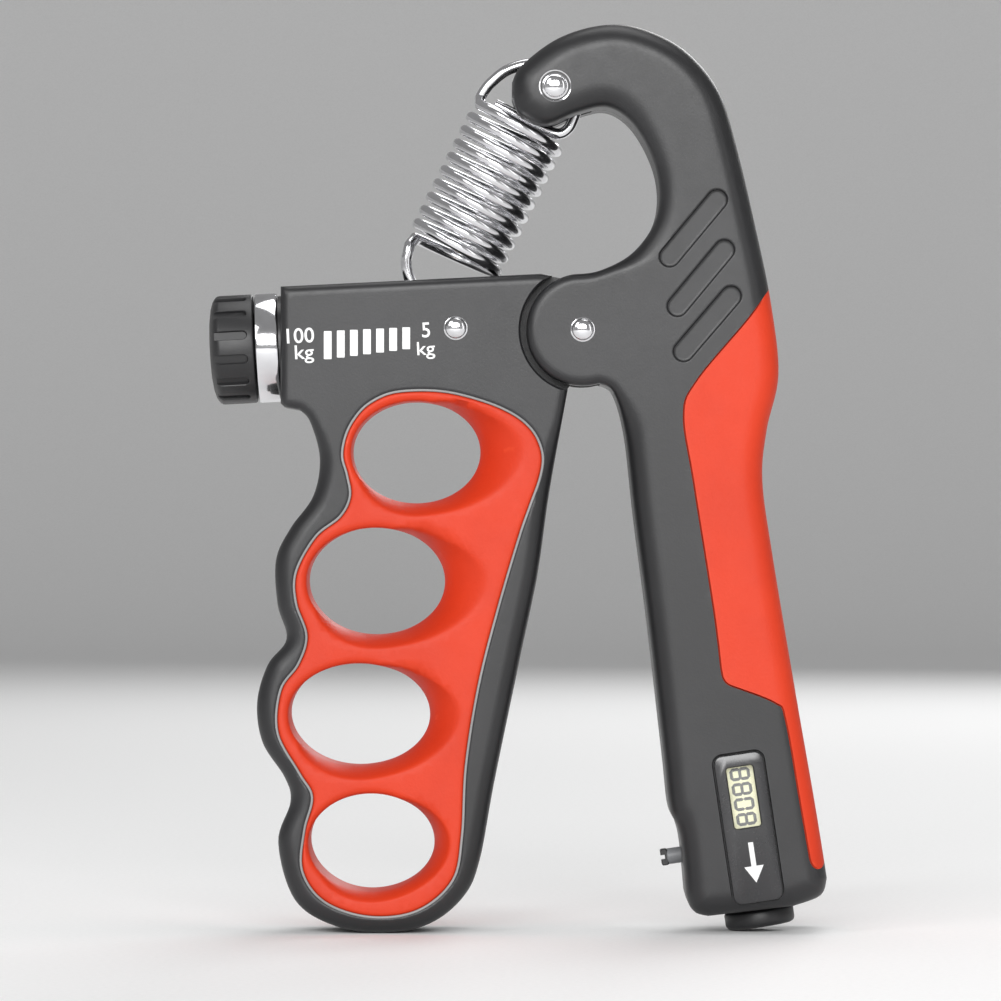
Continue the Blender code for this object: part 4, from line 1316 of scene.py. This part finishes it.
@dataclass
class PalmHandle:
    """The handle with the hooked head, the grooves, the soft pad and the counter's housing."""

    layout: Layout
    body: str = "palm_handle"
    edge: float = 4.2
    hub_edge: float = 1.6
    grooves: tuple[tuple[Point, Point], ...] = (
        ((15.6, 13.1), (24.1, 23.3)), ((17.0, 4.2), (25.4, 14.3)), ((18.1, -3.9), (26.6, 6.0)))
    outline: Outline = field(init=False)
    pad: Outline = field(init=False)

    def __post_init__(self) -> None:
        """Set the outlines."""
        outer = [(-12.7, 44.5), (-11.0, 47.6), (-4.6, 52.4), (3.0, 54.8), (10.1, 54.4), (18.2, 50.5),
                 (24.3, 43.4), (27.6, 33.5), (31.4, 17.4), (34.0, 4.5), (35.3, -8.0), (33.2, -17.9),
                 (32.4, -27.0), (34.2, -40.4), (38.6, -66.6), (41.9, -85.5), (44.0, -98.6)]
        inner = [(18.6, -101.5), (17.8, -93.0), (17.0, -89.2), (15.6, -85.8), (14.6, -76.8),
                 (11.8, -52.6), (9.4, -34.0), (7.7, -19.0), (5.6, -11.4), (3.0, -9.7)]
        arch = [(-1.75, 9.95), (3.0, 10.6), (8.7, 13.6), (12.7, 18.8), (13.8, 24.5), (12.6, 30.6),
                (9.0, 37.0), (4.4, 40.0), (-1.0, 39.0), (-6.4, 37.0), (-11.0, 38.6), (-12.7, 42.0)]
        foot = Outline.smooth([(44.0, -98.6), (43.5, -100.9), (42.0, -102.3), (37.9, -103.7)], 4)
        heel = Outline.smooth([(22.6, -105.5), (20.6, -105.0), (19.3, -103.7), (18.6, -101.5)], 4)
        self.outline = Outline.join(Outline.smooth(outer), foot, heel, Outline.smooth(inner),
                                    Outline.arc((0, 0), HUB_RADIUS, -75, -258, 44),
                                    Outline.smooth(arch), spacing=0.8)
        side = Outline.smooth([(36.5, 11.2), (30.0, 2.3), (20.5, -9.1), (18.1, -15.3), (19.9, -27.5),
                               (23.5, -50.3), (24.8, -60.7)], 10)
        tail = Outline.smooth([(26.8, -64.0), (34.5, -67.0), (36.4, -70.0), (39.0, -84.8), (40.5, -93.4),
                               (40.9, -95.4), (41.6, -96.5), (42.5, -96.7), (43.3, -95.9),
                               (44.2, -93.0)], 8)
        corner = Outline.arc((27.5, -61.6), 2.5, 190, 250, 5)
        self.pad = Outline.join(side, corner, tail, [(47.0, -90.0), (47.0, 11.2)], spacing=1.0)

    def rise(self, places: Array) -> Array:
        """Height of the whole handle: generously round at the outside, crisper at the hub."""
        from_hub = np.hypot(places[:, 0], places[:, 1])
        radius = self.hub_edge + (self.edge - self.hub_edge) * step(from_hub, 10.5, 22.0)
        arch = step(np.hypot(places[:, 0] - 2.0, places[:, 1] - 26.0), 12.0, 18.5)
        radius = radius - (radius - 3.0) * (1.0 - arch) * step(from_hub, 10.5, 22.0)
        return rounded(self.outline.distance(places), radius, PALM_HALF, 2.15)

    def grooved(self, places: Array) -> Array:
        """Height of the front, with its three short grooves."""
        height = self.rise(places)
        for start, end in self.grooves:
            along = np.subtract(end, start)
            share = np.clip((places - start) @ along / (along @ along), 0.0, 1.0)
            away = np.linalg.norm(places - start - share[:, None] * along, axis=1)
            height = height - np.interp(away, GROOVE_REACH, GROOVE_DEPTH)
        return height

    def relief(self, front: bool = False) -> Relief:
        """The whole handle, before it is divided.

        Args:
            front: whether it has the front's grooves.

        Returns:
            The relief.
        """
        rings = [self.outline.ring(d) for d in PALM_RINGS]
        creases = [Outline.slot(start, end, radius) for start, end in self.grooves
                   for radius in (1.3, 1.5, 1.74, 1.9, 2.05, 2.2)] if front else []
        return Relief(self.outline, self.grooved if front else self.rise, (), rings, creases, grid=2.6)

    def shared_cutters(self, screws: dict[str, CasingScrew]) -> list[bpy.types.Object]:
        """The hollows that both shells have."""
        pivot, counter = self.layout.pivot, self.layout.counter
        nose = Outline.join([(-15.0, 33.0), (1.7, 33.0), (1.7, 47.0), (-1.5, 50.2), (-6.5, 51.2),
                             (-9.0, 56.0), (-15.0, 56.0)], spacing=20)
        stem = [(0, -9), (3.1, -9), (3.1, -11.9), (2.0, -11.9), (2.0, -13.2), (6.7, -13.2), (6.7, -22),
                (0, -22)]
        return [
            Mesher.prism(self.pad.grown(HALF_GAP), LOW_END, HIGH_END, pivot),
            Mesher.prism(Outline.circle((0, 0), TONGUE_RADIUS + 0.8), -CHEEK_INNER, CHEEK_INNER, pivot),
            Mesher.prism(nose, -1.7, 1.7, pivot),
            Mesher.turned("cutter", [(0, 15), (1.9, 15), (1.9, -15), (0, -15)], pivot, steps=32),
            Mesher.turned("cutter", [(0, 15), (1.6, 15), (1.6, -15), (0, -15)], pivot.at(*SPRING_PIN),
                          steps=32),
            Mesher.prism(Outline.box(9.0, 11.6, 1.0, (-0.9, 0.6)), -9.0, 9.0, counter),
            Mesher.turned("cutter", [(0, -8), (1.75, -8), (1.75, -18), (0, -18)], counter.at(0, -3.6), "X",
                          steps=32),
            Mesher.turned("cutter", stem, counter, "Z", steps=72),
            *[screw.hole() for screw in screws.values()]]

    def front_cutters(self, label: Outline) -> list[bpy.types.Object]:
        """The label's seat and the window's opening."""
        counter = self.layout.counter
        seat = [(LOW_END, label.grown(0.5)), (-PALM_HALF - 0.01, label.grown(0.42)),
                (-PALM_HALF + 0.2, label.grown(0.28)), (-PALM_HALF + 1.2, label.grown(0.28))]
        return [stack("cutter", seat, counter),
                Mesher.prism(Outline.box(3.0, 6.1, 0.5, (0, 5.6)), LOW_END, -8.0, counter)]

    def build(self, label: Outline) -> None:
        """Make the shells, the pad, the rivets and the screws.

        Args:
            label: the label's outline in the counter's frame.
        """
        pivot, counter = self.layout.pivot, self.layout.counter
        screws = {"head": CasingScrew(pivot.at(3.0, 47.5), 8.0),
                  "hub": CasingScrew(pivot.at(13.8, -7.4), 8.0),
                  "middle": CasingScrew(pivot.at(18.2, -66.5), 8.0),
                  "foot": CasingScrew(counter.at(-9.2, -12.8), 8.0)}
        for side, sign in (("front", -1), ("rear", 1)):
            name = f"palm_{side}_shell"
            shell = self.relief(sign < 0).solid(name, pivot, back=-HALF_GAP, front=sign < 0)
            extra = self.front_cutters(label) if sign < 0 else [
                Mesher.turned("cutter", [(0, 16), (7.75, 16), (7.6, 12.3), (7.6, 11.4), (6.6, 11.4),
                                         (6.6, 8.0), (0, 8.0)], counter.at(1.9, 2.0), steps=96)]
            Mesher.carve(shell, [*self.shared_cutters(screws), *extra])
            replace(shell, self.body, Finish.SHELL, name)
        pad = self.relief().solid("palm_grip_pad", pivot)
        tight, wide = self.pad.grown(-HALF_GAP), self.pad.grown(HALF_GAP - 0.01)
        inside = stack("cutter", [(LOW_END, tight), (-11.6, tight), (-11.5, wide), (11.5, wide),
                                  (11.6, tight), (HIGH_END, tight)], pivot)
        Mesher.carve(pad, [inside], operation="INTERSECT")
        replace(pad, self.body, Finish.RED, "palm_grip_pad")
        for name, screw in screws.items():
            screw.build(f"palm_screw_{name}", self.body)
        self.rivets()

    def rivets(self) -> None:
        """The pivot's and the spring's through rivets, each head on a thin washer."""
        for name, place, head, shaft, washer in (("pivot_rivet", (0.0, 0.0), 2.2, 1.5, 0.0),
                                                 ("spring_rivet", SPRING_PIN, 2.35, 1.3, 2.9)):
            half = dome(head, PALM_HALF + 0.05, 0.75)
            half = half + ([(washer, PALM_HALF + 0.08), (washer, PALM_HALF - 0.12)] if washer else [])
            half = half + [(shaft, PALM_HALF - 0.12)]
            profile = half + [(radius, -height) for radius, height in reversed(half)]
            rivet = Mesher.turned(name, profile, self.layout.pivot.at(*place), steps=72)
            replace(rivet, self.body, Finish.CHROME, name)
        Finish.STEEL.on(bpy.data.objects["pivot_washer_front"], bpy.data.objects["pivot_washer_rear"])


# ------------------------------------------------------------------ counter

SEGMENTS = {"8": "abcdefg", "0": "abcdef"}


@dataclass
class Counter:
    """The squeeze counter in the palm handle's foot, with its plunger and reset button."""

    layout: Layout
    body: str = "palm_handle"
    count: str = "8808"
    window: float = 5.6
    label: Outline = field(default_factory=lambda: Outline.box(4.4, 13.4, 1.5))

    def face(self) -> None:
        """The label with its rounded edge, the window and the display behind it."""
        counter = self.layout.counter
        under, top = -PALM_HALF + 0.9, -PALM_HALF - 0.08
        levels = [(top, self.label.grown(-0.2)), (top + 0.06, self.label.grown(-0.06)),
                  (top + 0.18, self.label), (under, self.label)]
        label = stack("counter_label", levels, counter)
        opening = [(y, Outline.box(2.4 + more, 5.5 + more, 0.5 + more, (0, self.window))) for y, more in
                   ((LOW_END, 0.3), (top - 0.01, 0.22), (top + 0.25, 0.0), (-9.0, 0.0))]
        Mesher.carve(label, [stack("cutter", opening, counter)])
        replace(label, self.body, Finish.LABEL, "counter_label")
        nodes = bpy.data.objects
        Finish.CLEAR.on(nodes["lcd_window"])
        Finish.DISPLAY.on(nodes["lcd_panel"])
        Finish.BOARD.on(nodes["circuit_board"])
        Finish.KNOB.on(nodes["count_switch"], nodes["reset_switch"])
        Finish.STEEL.on(nodes["cell_contact"], nodes["reset_stem"])
        Finish.CHROME.on(nodes["button_cell"])

    def digits(self) -> None:
        """The count in seven-segment bars, read from the top of the window downwards."""
        pitch, tall, wide, bar = 2.72, 3.1, 1.75, 0.56
        rows = {"a": (0, tall / 2, wide, 0), "g": (0, 0, wide, 0), "d": (0, -tall / 2, wide, 0),
                "b": (wide / 2, tall / 4, 0, tall / 2), "c": (wide / 2, -tall / 4, 0, tall / 2),
                "f": (-wide / 2, tall / 4, 0, tall / 2), "e": (-wide / 2, -tall / 4, 0, tall / 2)}
        for index, figure in enumerate(self.count):
            middle = self.window + pitch * (1.5 - index)
            vertices: list[tuple[float, float, float]] = []
            faces: list[list[int]] = []
            for key in SEGMENTS[figure]:
                u, v, along, up = rows[key]
                half_u = max(along / 2 - bar * 0.45, bar / 2)
                half_v = max(up / 2 - bar * 0.45, bar / 2)
                tip = bar / 2
                if along:
                    ring = [(-half_u - tip, 0), (-half_u, -tip), (half_u, -tip), (half_u + tip, 0),
                            (half_u, tip), (-half_u, tip)]
                else:
                    ring = [(0, -half_v - tip), (tip, -half_v), (tip, half_v), (0, half_v + tip),
                            (-tip, half_v), (-tip, -half_v)]
                base = len(vertices)
                for y in (-9.97, -9.9):
                    vertices += [(v + q, y, middle - (u + p)) for p, q in ring]
                faces += [[base + i, base + (i + 1) % 6, base + 6 + (i + 1) % 6, base + 6 + i]
                          for i in range(6)]
                faces += [[base + i for i in range(6)], [base + 6 + i for i in range(6)]]
            digit = Mesher.add(f"display_digit_{index + 1}", vertices, faces, self.layout.counter)
            replace(digit, self.body, Finish.DIGIT, slot="lcd_film")

    def arrow(self) -> None:
        """A plain arrow on the label that points down at the reset button."""
        top, under = -PALM_HALF - 0.11, -PALM_HALF + 0.1
        shape = Outline([(-0.45, -2.6), (0.45, -2.6), (0.45, -6.9), (1.75, -6.9), (0.0, -9.9),
                         (-1.75, -6.9), (-0.45, -6.9)])
        arrow = stack("reset_arrow", [(y, shape) for y in (top, under)], self.layout.counter)
        replace(arrow, self.body, Finish.INK, slot="label_black")

    def battery_cover(self) -> None:
        """The coin-slot cover at the rear."""
        place = self.layout.counter.at(1.9, 2.0)
        half = PALM_HALF
        ribs = [(6.3, 11.6), (6.3, 9.0), (0, 9.0)]
        cover = Mesher.turned("battery_cover", [(0, half - 0.02), (6.0, half - 0.02), (6.9, half - 0.05),
                                                (7.2, half - 0.16), (7.32, half - 0.36), (7.32, 11.7),
                                                (6.3, 11.7), *ribs], place, steps=120)
        slot = stack("cutter", [(y, Outline.slot((-4.6, 0), (4.6, 0), r)) for y, r in
                                ((11.5, 0.75), (12.3, 0.8), (12.6, 1.05), (16.0, 1.3))], place)
        groove = Mesher.turned("cutter", [(5.75, 13), (6.1, 13), (6.0, half - 0.22), (5.85, half - 0.22)],
                               place, steps=120)
        Mesher.carve(cover, [slot, groove])
        replace(cover, self.body, Finish.SHELL_SMOOTH, "battery_cover")

    def plunger(self) -> None:
        """The sprung plunger with its forked tip."""
        axis = self.layout.counter.at(0.0, -3.6)
        shaft = Mesher.turned("count_plunger", [
            (0, -7.4), (0.9, -7.4), (0.9, -8.5), (2.4, -8.5), (2.5, -8.6), (2.5, -9.4), (2.4, -9.5),
            (1.45, -9.5), (1.45, -14.85), (1.3, -15.0), (0, -15.0)], axis, "X", steps=56)
        replace(shaft, "plunger", Finish.PLUNGER, "count_plunger")
        levels = [(y, Outline.box(0.65 - inset, 1.5 - inset, 0.35 - inset / 2, (-15.45, 0.0)))
                  for y, inset in ((-1.25, 0.18), (-1.05, 0.0), (1.05, 0.0), (1.25, 0.18))]
        tip = stack("plunger_tip", levels, axis)
        Mesher.carve(tip, [Mesher.block((-17.0, -3.0, -0.42), (-15.35, 3.0, 0.42), axis)])
        replace(tip, "plunger", Finish.KNOB, "plunger_tip")

    def press_spring(self, name: str, body: str, place: Place, axis: str, ends: Point, radius: float,
                     wire: float, turns: float) -> None:
        """A small coil between the handle and a body that is pressed in.

        Args:
            name: the CAD node that it replaces.
            body: the body that presses it.
            place: the frame it stands in.
            axis: X or Z, the axis that the coil lies along.
            ends: where its pressed end and its fixed end are along the axis.
            radius: the coil's radius.
            wire: the wire's radius.
            turns: how many turns it has.
        """
        count = round(turns * 24)
        path = []
        for index in range(count + 1):
            angle = 2 * math.pi * turns * index / count
            side, depth = radius * math.cos(angle), radius * math.sin(angle)
            reach = ends[0] + (ends[1] - ends[0]) * index / count
            path.append((reach, depth, side) if axis == "X" else (side, depth, reach))
        spring = Mesher.tube(f"{name}_wire", path, wire, place, 10)
        Finish.STEEL.on(spring)
        pressed, fixed = (tuple(place.matrix() @ Vector((end, 0, 0) if axis == "X" else (0, 0, end)))
                          for end in ends)
        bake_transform(spring)
        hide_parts(name)
        LOG.info("%s bends from %s to %s", spring.name, self.body, body)

    def reset_button(self) -> None:
        """The push-and-turn button under the foot: a smooth cap with a hollow for its spring."""
        profile = [(0, -17.1), (3.7, -17.1), (3.7, -15.3), (5.6, -15.3), (5.9, -15.36),
                   (6.15, -15.55), (6.3, -15.85),
                   (6.3, -17.55), (6.2, -17.95), (5.95, -18.25), (5.55, -18.45), (5.0, -18.5),
                   (0, -18.5)]
        knob = Mesher.turned("reset_knob", profile, self.layout.counter, "Z", steps=120)
        replace(knob, "reset_turn", Finish.KNOB, "reset_skirt", "reset_cap")

    def build(self) -> None:
        """Make every visible piece of the counter."""
        self.face()
        self.digits()
        self.arrow()
        self.battery_cover()
        self.plunger()
        self.reset_button()
        self.press_spring("plunger_spring", "plunger", self.layout.counter.at(0.0, -3.6), "X",
                          (-8.3, -5.3), 1.9, 0.2, 3.5)
        self.press_spring("reset_spring", "reset_push", self.layout.counter, "Z", (-16.6, -13.6),
                          2.7, 0.25, 4.0)


# ------------------------------------------------------------------ studio

@dataclass
class Studio:
    """The floor and its far rim, the lights and the camera."""

    middle: tuple[float, float] = (-0.00307, 0.07791)
    distance: float = 1.2
    field_width: float = 0.1815
    reach: float = 2.2
    bend: float = 0.8

    def floor(self) -> None:
        """A pale round floor that curves up far away."""
        bend, sides = self.bend, 72
        profile = [(0.0, 0.0), (0.3, 0.0), (0.8, 0.0), (1.4, 0.0), (self.reach, 0.0)]
        profile += [(self.reach + bend * math.sin(a), bend - bend * math.cos(a))
                    for a in (math.radians(90 * i / 12) for i in range(1, 13))]
        vertices = [(r * math.cos(2 * math.pi * i / sides), r * math.sin(2 * math.pi * i / sides), z)
                    for r, z in profile for i in range(sides)]
        faces = [[(k + 1) * sides + i, (k + 1) * sides + (i + 1) % sides, k * sides + (i + 1) % sides,
                  k * sides + i] for k in range(1, len(profile) - 1) for i in range(sides)]
        mesh = bpy.data.meshes.new("floor")
        mesh.from_pydata(vertices, [], [list(range(sides, 2 * sides)), *faces])
        mesh.shade_smooth()
        floor = bpy.data.objects.new("floor", mesh)
        bpy.context.scene.collection.objects.link(floor)
        graph = Graph("studio_paper")
        grain = graph.noise(900.0, 3.0)
        graph.dress(Base_Color=graph.mix(grain.above(0.3, 0.8), (0.90, 0.90, 0.90), (0.86, 0.86, 0.86)),
                    Roughness=0.75)
        mesh.materials.append(graph.material)

    def light(self, name: str, place: tuple[float, float, float], aim: tuple[float, float, float],
              size: tuple[float, float], power: float) -> None:
        """One soft rectangular light.

        Args:
            name: the light's name.
            place: where it stands, in metres.
            aim: the place it shines at.
            size: its width and height in metres.
            power: its power in watts.
        """
        data = bpy.data.lights.new(name, "AREA")
        data.shape = "RECTANGLE"
        data.size, data.size_y = size
        data.energy = power
        lamp = bpy.data.objects.new(name, data)
        lamp.location = place
        lamp.rotation_euler = (Vector(aim) - Vector(place)).to_track_quat("-Z", "Y").to_euler()
        bpy.context.scene.collection.objects.link(lamp)

    def build(self) -> None:
        """Set the floor, lights, world and camera."""
        self.floor()
        aim = (self.middle[0], 0.0, self.middle[1])
        self.light("front", (-0.1, -1.9, 0.68), aim, (1.3, 0.7), 31.0)
        self.light("key", (-0.65, -0.85, 0.7), aim, (0.4, 0.6), 2.6)
        self.light("fill", (0.85, -0.8, 0.3), aim, (0.2, 0.9), 1.0)
        self.light("top", (0.1, 0.1, 1.0), aim, (0.8, 0.5), 3.0)
        self.light("rear", (0.5, 1.4, 0.75), aim, (0.8, 0.6), 8.0)
        world = bpy.data.worlds.new("studio_air")
        world.use_nodes = True
        world.node_tree.nodes["Background"].inputs["Color"].default_value = (1.0, 1.0, 1.0, 1.0)
        world.node_tree.nodes["Background"].inputs["Strength"].default_value = 0.28
        bpy.context.scene.world = world
        data = bpy.data.cameras.new("camera")
        data.sensor_width = 36.0
        data.lens = data.sensor_width * self.distance / self.field_width
        data.clip_end = 20.0
        camera = bpy.data.objects.new("camera", data)
        camera.location = (self.middle[0], -self.distance, self.middle[1])
        camera.rotation_euler = (math.pi / 2, 0.0, 0.0)
        bpy.context.scene.collection.objects.link(camera)
        bpy.context.scene.camera = camera
        bpy.context.scene.view_settings.view_transform = "Standard"


def corners(box: Any) -> list[list[float]]:
    """A box as plain numbers."""
    return [[float(value) for value in corner] for corner in box]


def main() -> None:
    """Build the whole object round the frame."""
    logging.basicConfig(level=logging.INFO, format="%(message)s")
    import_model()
    layout = Layout.from_frame()
    Studio().build()
    counter = Counter(layout)
    FingerHandle(layout).build()
    Adjuster(layout).build()
    Spring(layout).build()
    PalmHandle(layout).build(counter.label)
    counter.build()


if __name__ == "__main__":
    main()
